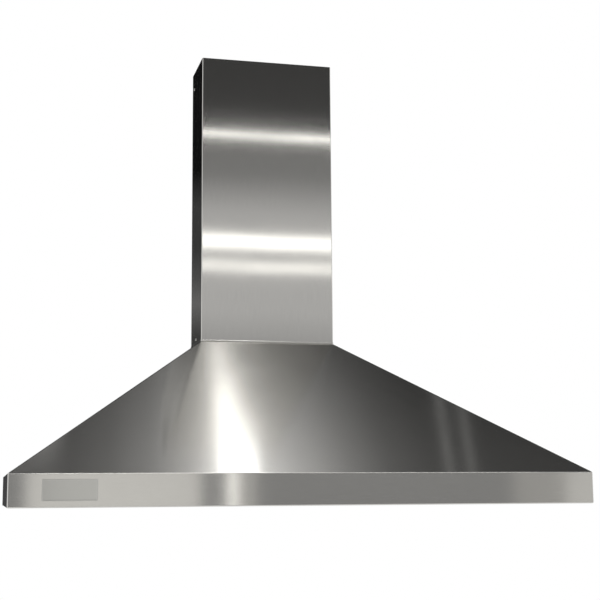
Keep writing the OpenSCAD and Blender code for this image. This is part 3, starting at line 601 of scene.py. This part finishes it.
def plateMetal():
    f = plateFinish
    material, tree = newTree("plateMetal")
    coordinates = tree.nodes.new("ShaderNodeTexCoord").outputs["UV"]
    speckle = noise(tree, coordinates, **f["speckle"])
    streak = noise(tree, coordinates, **f["streak"])
    tone = mixTones(tree, spread(tree, streak, 0, 1), *f["tones"])
    rough = mathNode(tree, "ADD", spread(tree, speckle, *f["rough"]), spread(tree, streak, *f["streakRough"]))
    shader = shaderOut(tree, Base_Color=tone, Metallic=1.0, Roughness=rough)
    tree.links.new(bump(tree, speckle, f["relief"], f["reliefStrength"]), shader.inputs["Normal"])
    return material


finishWith(lipPlate, plateMetal())
print("sheet finishes made")

# Plain finishes of the CAD pieces, by material slot
finishes = {
    "screw_steel": {
        "tones": ((0.62, 0.62, 0.60), (0.76, 0.76, 0.74)), "metal": 1.0, "rough": (0.16, 0.34),
        "scale": 420, "bump": 0.00002,
    },
    "motor_shell": {
        "tones": ((0.045, 0.045, 0.05), (0.085, 0.085, 0.09)), "metal": 0.0,
        "rough": (0.30, 0.46), "scale": 300, "bump": 0.00008,
    },
    "wheel_steel": {
        "tones": ((0.46, 0.47, 0.48), (0.60, 0.61, 0.62)), "metal": 1.0, "rough": (0.28, 0.46),
        "scale": 190, "bump": 0.00002,
    },
    "flap_aluminium": {
        "tones": ((0.55, 0.56, 0.56), (0.68, 0.69, 0.69)), "metal": 1.0, "rough": (0.26, 0.42),
        "scale": 160, "bump": 0.00002,
    },
    "pale_plastic": {
        "tones": ((0.74, 0.73, 0.68), (0.84, 0.83, 0.79)), "metal": 0.0, "rough": (0.38, 0.54),
        "scale": 520, "bump": 0.00004,
    },
    "dark_plastic": {
        "tones": ((0.035, 0.035, 0.035), (0.075, 0.075, 0.075)), "metal": 0.0,
        "rough": (0.40, 0.58), "scale": 620, "bump": 0.00005,
    },
    "capacitor_can": {
        "tones": ((0.68, 0.69, 0.69), (0.80, 0.81, 0.81)), "metal": 0.0, "rough": (0.20, 0.34),
        "scale": 240, "bump": 0.00002,
    },
    "grommet_rubber": {
        "tones": ((0.02, 0.02, 0.02), (0.05, 0.05, 0.05)), "metal": 0.0, "rough": (0.62, 0.82),
        "scale": 700, "bump": 0.00006,
    },
    "trim_chrome": {
        "tones": ((0.68, 0.68, 0.67), (0.80, 0.80, 0.79)), "metal": 1.0, "rough": (0.05, 0.15),
        "scale": 130, "bump": 0.000006,
    },
    "dark_aluminium": {
        "tones": ((0.14, 0.14, 0.15), (0.24, 0.24, 0.25)), "metal": 0.8, "rough": (0.34, 0.50),
        "scale": 360, "bump": 0.00003,
    },
}

# What plain finishes share: fine speckle, larger cloudiness and a little wear
finishMix = {
    "cloudsPerSpeckle": 14,
    "wearPerSpeckle": 45,
    "speckle": {"detail": 3, "roughness": 0.6},
    "clouds": {"detail": 4, "offset": (0.3, 0.1, 0.7)},
    "wear": {"detail": 5, "roughness": 0.65, "offset": (1.3, 2.1, 0.4)},
    "speckleShare": 0.4,
    "wearShare": 0.3,
    "wearBand": (0.5, 0.72),
    "wearRough": (-0.03, 0.03),
    "speckleStrength": 0.5,
    "cloudStrength": 0.4,
    "cloudDepth": 3,         # times the speckle's
}


def cleanFinish(name, f):
    m = finishMix
    material, tree = newTree(name)
    coordinates = tree.nodes.new("ShaderNodeTexCoord").outputs["Object"]
    speckle = noise(tree, coordinates, f["scale"], **m["speckle"])
    clouds = noise(tree, coordinates, f["scale"] / m["cloudsPerSpeckle"], **m["clouds"])
    wear = noise(tree, coordinates, f["scale"] / m["wearPerSpeckle"], **m["wear"])
    dark, light = f["tones"]
    tone = mixTones(tree, spread(tree, clouds, 0, 1), dark, light)
    worn = mixTones(tree, spread(tree, speckle, 0, m["speckleShare"]), tone, dark)
    aged = mixTones(tree, spread(tree, wear, 0, m["wearShare"], *m["wearBand"]), worn, light)
    rough = mathNode(tree, "ADD", spread(tree, speckle, *f["rough"]), spread(tree, wear, *m["wearRough"]))
    shader = shaderOut(tree, Base_Color=aged, Metallic=f["metal"], Roughness=rough)
    below = bump(tree, clouds, f["bump"] * m["cloudDepth"], m["cloudStrength"])
    relief = bump(tree, speckle, f["bump"], m["speckleStrength"], below)
    tree.links.new(relief, shader.inputs["Normal"])
    return material


# Zinc coat: large flat spangles of different greys, dull in places
zinc = {
    "cells": 95.0,
    "fine": {"scale": 420, "detail": 3},
    "dull": {"scale": 7, "detail": 4},
    "spangles": ((0.50, 0.52, 0.53), (0.66, 0.68, 0.69)),
    "dullTone": (0.52, 0.53, 0.53),
    "dullShare": 0.45,
    "dullBand": (0.45, 0.75),
    "spangleRough": (0.30, 0.44),
    "dullRough": 0.12,
    "fineDepth": 0.00002,
    "cellDepth": 0.00003,
    "strength": 0.4,
}


def zincCoat():
    z = zinc
    material, tree = newTree("galvanisedSheet")
    coordinates = tree.nodes.new("ShaderNodeTexCoord").outputs["Object"]
    cells = addNode(tree, "ShaderNodeTexVoronoi", Scale=z["cells"])
    tree.links.new(coordinates, cells.inputs["Vector"])
    shade = tree.nodes.new("ShaderNodeRGBToBW")
    tree.links.new(cells.outputs["Color"], shade.inputs[0])
    fine = noise(tree, coordinates, **z["fine"])
    dull = noise(tree, coordinates, **z["dull"])
    spangle = mixTones(tree, shade.outputs[0], *z["spangles"])
    tone = mixTones(tree, spread(tree, dull, 0, z["dullShare"], *z["dullBand"]), spangle, z["dullTone"])
    spangleRough = spread(tree, shade.outputs[0], *z["spangleRough"], 0, 1)
    rough = mathNode(tree, "ADD", spangleRough, spread(tree, dull, 0, z["dullRough"]))
    shader = shaderOut(tree, Base_Color=tone, Metallic=1.0, Roughness=rough)
    below = bump(tree, cells.outputs["Distance"], z["cellDepth"], z["strength"])
    relief = bump(tree, fine, z["fineDepth"], z["strength"], below)
    tree.links.new(relief, shader.inputs["Normal"])
    return material


# Lamp glass, frosted inside
glass = {
    "frost": {"scale": 900, "detail": 3},
    "patches": {"scale": 40, "detail": 3},
    "tones": ((0.84, 0.87, 0.87), (0.93, 0.95, 0.95)),
    "rough": (0.28, 0.42),
    "patchRough": (-0.03, 0.03),
    "transmission": 0.75,
    "ior": 1.46,
    "depth": 0.00003,
    "strength": 0.5,
}


def frostedGlass():
    g = glass
    material, tree = newTree("frostedLampGlass")
    coordinates = tree.nodes.new("ShaderNodeTexCoord").outputs["Object"]
    frost = noise(tree, coordinates, **g["frost"])
    patches = noise(tree, coordinates, **g["patches"])
    tone = mixTones(tree, spread(tree, patches, 0, 1), *g["tones"])
    rough = mathNode(tree, "ADD", spread(tree, frost, *g["rough"]), spread(tree, patches, *g["patchRough"]))
    shader = shaderOut(tree, Base_Color=tone, Roughness=rough)
    shader.inputs["Transmission Weight"].default_value = g["transmission"]
    shader.inputs["IOR"].default_value = g["ior"]
    tree.links.new(bump(tree, frost, g["depth"], g["strength"]), shader.inputs["Normal"])
    return material


slotMaterials = {slot: cleanFinish(slot + "_finish", facts) for slot, facts in finishes.items()}
slotMaterials["galvanised"] = zincCoat()
slotMaterials["lamp_glass"] = frostedGlass()
slotMaterials["inner_steel"] = steels["inner"]
slotMaterials["filter_steel"] = steels["filter"]
slotMaterials["latch_steel"] = steels["latch"]
slotMaterials["canopy_steel"] = steels["canopy"]
slotMaterials["chimney_steel"] = steels["chimney"]
for subpart in frame["record"]["subparts"]:
    node = frame["nodes"][subpart["node"]]
    for holder in node.material_slots:
        holder.link = "OBJECT"
        holder.material = slotMaterials[subpart["material_slot"]]

# Small fasteners: button-head screws with a hexagon socket, and plain rivets
screwHead = {"radius": 0.0032, "height": 0.0017, "socket": 0.0013, "depth": 0.0010}
rivetHead = {"radius": 0.0026, "height": 0.0011, "socket": 0.0}
heads = {"sides": 24, "steps": 5, "dome": 0.86}         # dome: share of a quarter turn before the flat top


def headRings(facts):
    sides, steps = heads["sides"], heads["steps"]
    rings = []
    for k in range(steps + 1):
        angle = math.pi / 2 * heads["dome"] * k / steps
        rings.append([(facts["radius"] * math.cos(angle), facts["height"] * math.sin(angle))] * sides)
    if facts["socket"]:
        top = rings[-1][0][1]
        shape = []
        for k in range(sides):
            within = (2 * math.pi * k / sides) % (math.pi / 3) - math.pi / 6
            shape.append(facts["socket"] * math.cos(math.pi / 6) / math.cos(within))
        rings.append([(r, top) for r in shape])
        rings.append([(r, top - facts["depth"]) for r in shape])
    return rings


def fastenerSet(name, places, outward, facts):
    turn = Vector(outward).to_track_quat("Z", "Y")
    rings = headRings(facts)
    sides = heads["sides"]
    points, faces = [], []
    for place in places:
        base = len(points)
        for ring in rings:
            for k, (radius, height) in enumerate(ring):
                angle = 2 * math.pi * k / sides
                local = Vector((radius * math.cos(angle), radius * math.sin(angle), height))
                points.append(Vector(place) + turn @ local)
        for row in range(len(rings) - 1):
            for k in range(sides):
                a, b = base + row * sides + k, base + row * sides + (k + 1) % sides
                faces.append((a, b, b + sides, a + sides))
        faces.append(tuple(base + (len(rings) - 1) * sides + k for k in range(sides)))
        faces.append(tuple(base + k for k in reversed(range(sides))))
    made = meshPiece(name, points, faces)
    finishWith(made, slotMaterials["screw_steel"])


screwPlaces = {"lidInset": 0.008, "controlInset": 0.007, "driverInset": 0.007, "driverFoot": 0.002}


def endsOf(low, high, axis, inset):
    return low[axis] + inset, high[axis] - inset


def lidScrews():
    low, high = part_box("junction_lid")
    inset = screwPlaces["lidInset"]
    places = [(x, low[1], z) for x in endsOf(low, high, 0, inset) for z in endsOf(low, high, 2, inset)]
    fastenerSet("lid_screws", places, (0, -1, 0), screwHead)


def controlPlateScrews():
    low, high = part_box("control_plate")
    middleY = (low[1] + high[1]) / 2
    places = [(x, middleY, low[2]) for x in endsOf(low, high, 0, screwPlaces["controlInset"])]
    fastenerSet("control_plate_screws", places, (0, 0, -1), screwHead)


def driverScrews():
    low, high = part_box("led_driver")
    middleY, top = (low[1] + high[1]) / 2, low[2] + screwPlaces["driverFoot"]
    places = [(x, middleY, top) for x in endsOf(low, high, 0, screwPlaces["driverInset"])]
    fastenerSet("driver_screws", places, (0, 0, 1), screwHead)


inletRivets = {"count": 6, "inset": 0.005, "turn": math.pi / 6}


def inletRingRivets(side, outward):
    low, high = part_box(f"inlet_ring_{side}")
    outerX = high[0] if outward > 0 else low[0]
    middleY, middleZ = (low[1] + high[1]) / 2, (low[2] + high[2]) / 2
    radius = (high[1] - low[1]) / 2 - inletRivets["inset"]
    count = inletRivets["count"]
    turns = [inletRivets["turn"] + 2 * math.pi * k / count for k in range(count)]
    places = [(outerX, middleY + radius * math.cos(a), middleZ + radius * math.sin(a)) for a in turns]
    fastenerSet(f"{side}_inlet_rivets", places, (outward, 0, 0), rivetHead)


lidScrews()
controlPlateScrews()
driverScrews()
inletRingRivets("left", -1)
inletRingRivets("right", 1)

# Filled line on the knob that shows where it points
knobMark = {"length": 0.008, "width": 0.0013, "proud": 0.00012, "fromMiddle": 0.007, "endRound": 0.49}


def knobLine():
    m = knobMark
    low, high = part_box("speed_knob")
    middle = Vector(((low[0] + high[0]) / 2, (low[1] + high[1]) / 2 - m["fromMiddle"], low[2]))
    loop = roundedLoop(m["width"], m["length"], m["width"] * m["endRound"])
    count = len(loop)
    points = [middle + Vector((x, y, -rise)) for rise in (0, m["proud"]) for x, y in loop]
    faces = [(k, count + k, count + (k + 1) % count, (k + 1) % count) for k in range(count)]
    faces += [tuple(range(count)), tuple(count + k for k in reversed(range(count)))]
    made = meshPiece("knob_line", points, faces, body="knob")
    finishWith(made, slotMaterials["dark_plastic"])


knobLine()
print("small fasteners set")

# Studio: pale floor, white surroundings, grey flats and long strip lamps that the steel mirrors
studio = {
    "floorHeight": -1.8,
    "floorSize": 60,
    "floorTone": (0.86, 0.86, 0.85),
    "shadowKept": 0.35,      # share of the floor's own shading that the camera sees near the hood
    "shadowReach": (1.5, 6.0),
    "aroundTone": 0.55,      # world as soft light
    "lampTint": (1.0, 0.99, 0.96),
}


def stagePlane(name, corners, material, seen=False):
    mesh = bpy.data.meshes.new(name)
    mesh.from_pydata([tuple(c) for c in corners], [], [(0, 1, 2, 3)])
    mesh.materials.append(material)
    made = bpy.data.objects.new(name, mesh)
    scene.collection.objects.link(made)
    made.visible_camera = seen
    made.visible_shadow = seen


def emission(tree, colour, strength=1.0):
    node = addNode(tree, "ShaderNodeEmission", Strength=strength)
    if isinstance(colour, tuple):
        node.inputs["Color"].default_value = (*colour, 1)
    else:
        tree.links.new(colour, node.inputs["Color"])
    return node.outputs[0]


def mixShaders(tree, factor, first, second):
    node = tree.nodes.new("ShaderNodeMixShader")
    tree.links.new(factor, node.inputs[0])
    tree.links.new(first, node.inputs[1])
    tree.links.new(second, node.inputs[2])
    return node.outputs[0]


def backgroundRays(tree):
    path = tree.nodes.new("ShaderNodeLightPath")
    some = mathNode(tree, "MAXIMUM", path.outputs["Is Camera Ray"], path.outputs["Is Glossy Ray"])
    return mathNode(tree, "MAXIMUM", some, path.outputs["Is Transmission Ray"])


def buildWorld():
    world = bpy.data.worlds.new("studioWorld")
    scene.world = world
    world.use_nodes = True
    tree = world.node_tree
    tree.nodes.clear()
    around = addNode(tree, "ShaderNodeBackground", Strength=1.0)
    around.inputs["Color"].default_value = (*[studio["aroundTone"]] * 3, 1)
    seen = addNode(tree, "ShaderNodeBackground", Strength=1.0)
    seen.inputs["Color"].default_value = (1, 1, 1, 1)
    out = tree.nodes.new("ShaderNodeOutputWorld")
    tree.links.new(mixShaders(tree, backgroundRays(tree), around.outputs[0], seen.outputs[0]), out.inputs[0])


def buildFloor():
    material, tree = newTree("paleFloor")
    diffuse = tree.nodes.new("ShaderNodeBsdfDiffuse")
    diffuse.inputs["Color"].default_value = (*studio["floorTone"], 1)
    white = emission(tree, (1, 1, 1))
    coordinates = tree.nodes.new("ShaderNodeTexCoord").outputs["Object"]
    length = tree.nodes.new("ShaderNodeVectorMath")
    length.operation = "LENGTH"
    tree.links.new(coordinates, length.inputs[0])
    near, far = studio["shadowReach"]
    whiteShare = spread(tree, length.outputs["Value"], 1 - studio["shadowKept"], 1, near, far)
    shown = mixShaders(tree, whiteShare, diffuse.outputs[0], white)
    above = mixShaders(tree, backgroundRays(tree), diffuse.outputs[0], shown)
    clear = tree.nodes.new("ShaderNodeBsdfTransparent")    # seen from below, the floor lets the hood show
    below = tree.nodes.new("ShaderNodeNewGeometry").outputs["Backfacing"]
    out = tree.nodes.new("ShaderNodeOutputMaterial")
    tree.links.new(mixShaders(tree, below, above, clear.outputs[0]), out.inputs[0])
    size, height = studio["floorSize"], studio["floorHeight"]
    corners = [(-size, -size, height), (size, -size, height), (size, size, height), (-size, size, height)]
    stagePlane("floor", corners, material, seen=True)


# Flats and lamps in front of the hood, behind the camera: the chimney and the lip mirror these
frontWall = {
    "y": -5.0,
    "low": -1.7,
    "high": 3.6,
    "left": -3.5,
    "right": 5.5,
    "tones": ((0.0, 0.27), (0.42, 0.33), (0.5, 0.62), (0.62, 0.58), (0.665, 0.28), (0.715, 0.22),
              (0.75, 0.07), (1.0, 0.05)),
    "strips": (
        {"height": 2.089, "thick": 0.012, "strength": 8.5},
        {"height": 1.395, "thick": 0.085, "strength": 2.6},
        {"height": 1.235, "thick": 0.07, "strength": 1.7},
    ),
    "panels": (
        {"left": -0.44, "right": 0.49, "tone": 0.85},
        {"left": 0.632, "right": 0.692, "tone": 1.75},
        {"left": 0.692, "right": 0.8, "tone": 0.52},
        {"left": 2.3, "right": 2.62, "tone": 0.46},
        {"left": 2.62, "right": 4.2, "tone": 0.72},
    ),
    "ahead": 0.02,
    "stripEnds": (-1.0, 3.0),
    "panelLow": -0.9,
    "panelHigh": 0.35,
}


def objectPlace(tree):
    parts = tree.nodes.new("ShaderNodeSeparateXYZ")
    tree.links.new(tree.nodes.new("ShaderNodeTexCoord").outputs["Object"], parts.inputs[0])
    return parts.outputs


def gradedMaterial(name, low, high, stops):
    material, tree = newTree(name)
    upwards = spread(tree, objectPlace(tree)[2], 0, 1, low, high)
    out = tree.nodes.new("ShaderNodeOutputMaterial")
    tree.links.new(emission(tree, ramp(tree, upwards, stops)), out.inputs[0])
    return material


def plainLamp(name, strength):
    material, tree = newTree(name)
    out = tree.nodes.new("ShaderNodeOutputMaterial")
    tree.links.new(emission(tree, studio["lampTint"], strength), out.inputs[0])
    return material


def upright(y, left, right, low, high):
    return [(left, y, low), (right, y, low), (right, y, high), (left, y, high)]


def buildFrontWall():
    f = frontWall
    graded = gradedMaterial("frontFlatTone", f["low"], f["high"], f["tones"])
    stagePlane("frontFlat", upright(f["y"], f["left"], f["right"], f["low"], f["high"]), graded)
    for k, strip in enumerate(f["strips"]):
        half = strip["thick"] / 2
        low, high = strip["height"] - half, strip["height"] + half
        stagePlane(f"frontStrip{k}", upright(f["y"] + f["ahead"], *f["stripEnds"], low, high),
                   plainLamp(f"frontStripLamp{k}", strip["strength"]))
    for k, panel in enumerate(f["panels"]):
        corners = upright(f["y"] + f["ahead"], panel["left"], panel["right"], f["panelLow"], f["panelHigh"])
        stagePlane(f"lowPanel{k}", corners, plainLamp(f"lowPanelLamp{k}", panel["tone"]))


# Dark ceiling with a fan of light: the slope mirrors its back half, and its front half by way of the chimney
ceiling = {
    "z": 2.6,
    "left": -1.15,
    "right": 2.5,
    "front": -1.9,
    "back": 2.2,
    "edge": 0.335,           # straight left edge of the bright core
    "narrow": 0.012,         # width of the core where the slope under the collar mirrors it
    "wide": 0.15,            # and where the slope above the lip does
    "nearLip": ((-1.38, 0.0), (-0.78, 1.0), (0.49, 1.0), (1.08, 0.0)),     # y, and 0 narrow to 1 wide
    "collarGlow": 0.35,
    "reach": 1.6,
    "glow": ((-1.6, 0.05), (-0.8, 0.07), (-0.675, 0.085), (-0.465, 0.14), (-0.295, 0.24),
             (-0.155, 0.43), (-0.09, 0.57), (-0.045, 0.74), (0.0, 0.9), (0.03, 0.76), (0.075, 0.63),
             (0.195, 0.44), (0.415, 0.225), (0.6, 0.115), (0.845, 0.062), (1.6, 0.045)),
    "core": ((-0.02, 0.0), (-0.005, 0.5), (0.0, 1.1), (0.01, 0.8), (0.03, 0.0)),
    # Patch mirrored by way of the chimney's left side
    "besideAcross": ((-0.75, 0.0), (-0.6, 1.0), (-0.4, 1.0), (-0.3, 0.0)),
    "besideDepth": ((0.62, 0.0), (0.7, 0.44), (0.76, 0.42), (0.88, 0.27), (1.07, 0.13), (1.6, 0.0)),
    "streaks": ((1.35, 0.0), (1.362, 0.1), (1.388, 0.1), (1.4, 0.0),
                (1.455, 0.0), (1.467, 0.09), (1.493, 0.09), (1.505, 0.0)),
    "strength": 1.45,
    "frontBoost": 1.5,       # what the second mirror takes away
    "boostDepth": (-0.3, 0.1),
    "coreReach": 0.05,
    "streakSpan": (1.3, 1.55),
}


def metreRamp(tree, value, low, high, stops):
    placed = [((at - low) / (high - low), tone) for at, tone in stops]
    return ramp(tree, spread(tree, value, 0, 1, low, high), placed)


def ceilingTone():
    c = ceiling
    material, tree = newTree("ceilingTone")
    across, depth = objectPlace(tree)[:2]
    nearLip = metreRamp(tree, depth, c["front"], c["back"], c["nearLip"])
    width = mathNode(tree, "MULTIPLY_ADD", nearLip, c["wide"] - c["narrow"], c["narrow"])
    beyond = mathNode(tree, "SUBTRACT", across, c["edge"])
    before = mathNode(tree, "MINIMUM", beyond, 0.0)
    after = mathNode(tree, "MAXIMUM", mathNode(tree, "SUBTRACT", beyond, width), 0.0)
    aside = mathNode(tree, "ADD", before, after)
    glow = metreRamp(tree, aside, -c["reach"], c["reach"], c["glow"])
    share = mathNode(tree, "MULTIPLY_ADD", nearLip, 1 - c["collarGlow"], c["collarGlow"])
    core = metreRamp(tree, aside, -c["coreReach"], c["coreReach"], c["core"])
    streaks = metreRamp(tree, across, *c["streakSpan"], c["streaks"])
    tone = mathNode(tree, "ADD", mathNode(tree, "MULTIPLY", glow, share), core)
    tone = mathNode(tree, "ADD", tone, streaks)
    beside = mathNode(tree, "MULTIPLY", metreRamp(tree, across, c["left"], c["right"], c["besideAcross"]),
                      metreRamp(tree, depth, c["front"], c["back"], c["besideDepth"]))
    tone = mathNode(tree, "ADD", tone, beside)
    boosted, plain = c["boostDepth"]
    boost = metreRamp(tree, depth, c["front"], c["back"], ((boosted, 1.0), (plain, 1 / c["frontBoost"])))
    tone = mathNode(tree, "MULTIPLY", tone, mathNode(tree, "MULTIPLY", boost, c["frontBoost"]))
    out = tree.nodes.new("ShaderNodeOutputMaterial")
    tree.links.new(emission(tree, tone, c["strength"]), out.inputs[0])
    return material


def level(left, right, front, back, z):
    return [(left, front, z), (right, front, z), (right, back, z), (left, back, z)]


def buildCeiling():
    c = ceiling
    stagePlane("ceilingFlat", level(c["left"], c["right"], c["front"], c["back"], c["z"]), ceilingTone())


# Lamps high up in front of the hood: the fold between lip and slope mirrors them
foldLamps = {
    "front": -2.75,
    "back": -2.35,
    "z": 2.6,
    "lamps": (
        {"left": -0.45, "right": 0.5, "strength": 9.0},
        {"left": 0.5, "right": 2.0, "strength": 3.5},
    ),
}


def buildFoldLamps():
    f = foldLamps
    for k, lamp in enumerate(f["lamps"]):
        corners = level(lamp["left"], lamp["right"], f["front"], f["back"], f["z"])
        stagePlane(f"foldLamp{k}", corners, plainLamp(f"foldLampTone{k}", lamp["strength"]))


# Flat behind the hood, dark below and grey above: the chimney's sides and the slopes mirror it
backFlat = {
    "y": 3.6,
    "left": -7.0,
    "right": 5.0,
    "low": -0.6,
    "high": 4.4,
    "tones": ((0.0, 0.06), (0.25, 0.055), (0.285, 0.15), (0.31, 0.09), (0.345, 0.045), (0.39, 0.03),
              (0.43, 0.004), (0.47, 0.01), (0.58, 0.16), (0.8, 0.36), (1.0, 0.5)),
    "ahead": 0.02,
    "sideLeft": -1.6,        # narrow darker flat in front of it, for the chimney's left side
    "sideRight": -0.1,
    "sideTones": ((0.0, 0.06), (0.25, 0.055), (0.285, 0.15), (0.31, 0.09), (0.345, 0.045), (0.39, 0.05),
                  (0.43, 0.006), (1.0, 0.001)),
}


def buildBackFlat():
    b = backFlat
    graded = gradedMaterial("backFlatTone", b["low"], b["high"], b["tones"])
    stagePlane("backFlat", upright(b["y"], b["left"], b["right"], b["low"], b["high"]), graded)
    darker = gradedMaterial("sideFlatTone", b["low"], b["high"], b["sideTones"])
    corners = upright(b["y"] - b["ahead"], b["sideLeft"], b["sideRight"], b["low"], b["high"])
    stagePlane("sideFlat", corners, darker)


# Two large lamps that light the hood but aren't mirrored in it
softLamps = {
    "keyLamp": {"place": (-2.6, -3.4, 2.2), "target": (0, -0.3, 0.1), "size": (2.0, 1.6), "watts": 70},
    "fillLamp": {"place": (3.2, -2.8, 1.0), "target": (0, -0.3, 0.0), "size": (2.0, 1.6), "watts": 30},
}


def softLamp(name, lamp):
    data = bpy.data.lights.new(name, "AREA")
    data.shape = "RECTANGLE"
    data.size, data.size_y = lamp["size"]
    data.energy = lamp["watts"]
    made = bpy.data.objects.new(name, data)
    scene.collection.objects.link(made)
    made.location = lamp["place"]
    towards = Vector(lamp["target"]) - Vector(lamp["place"])
    made.rotation_euler = towards.to_track_quat("-Z", "Y").to_euler()
    made.visible_glossy = False


buildWorld()
buildFloor()
buildFrontWall()
buildCeiling()
buildFoldLamps()
buildBackFlat()
for name, lamp in softLamps.items():
    softLamp(name, lamp)
print("studio ready")
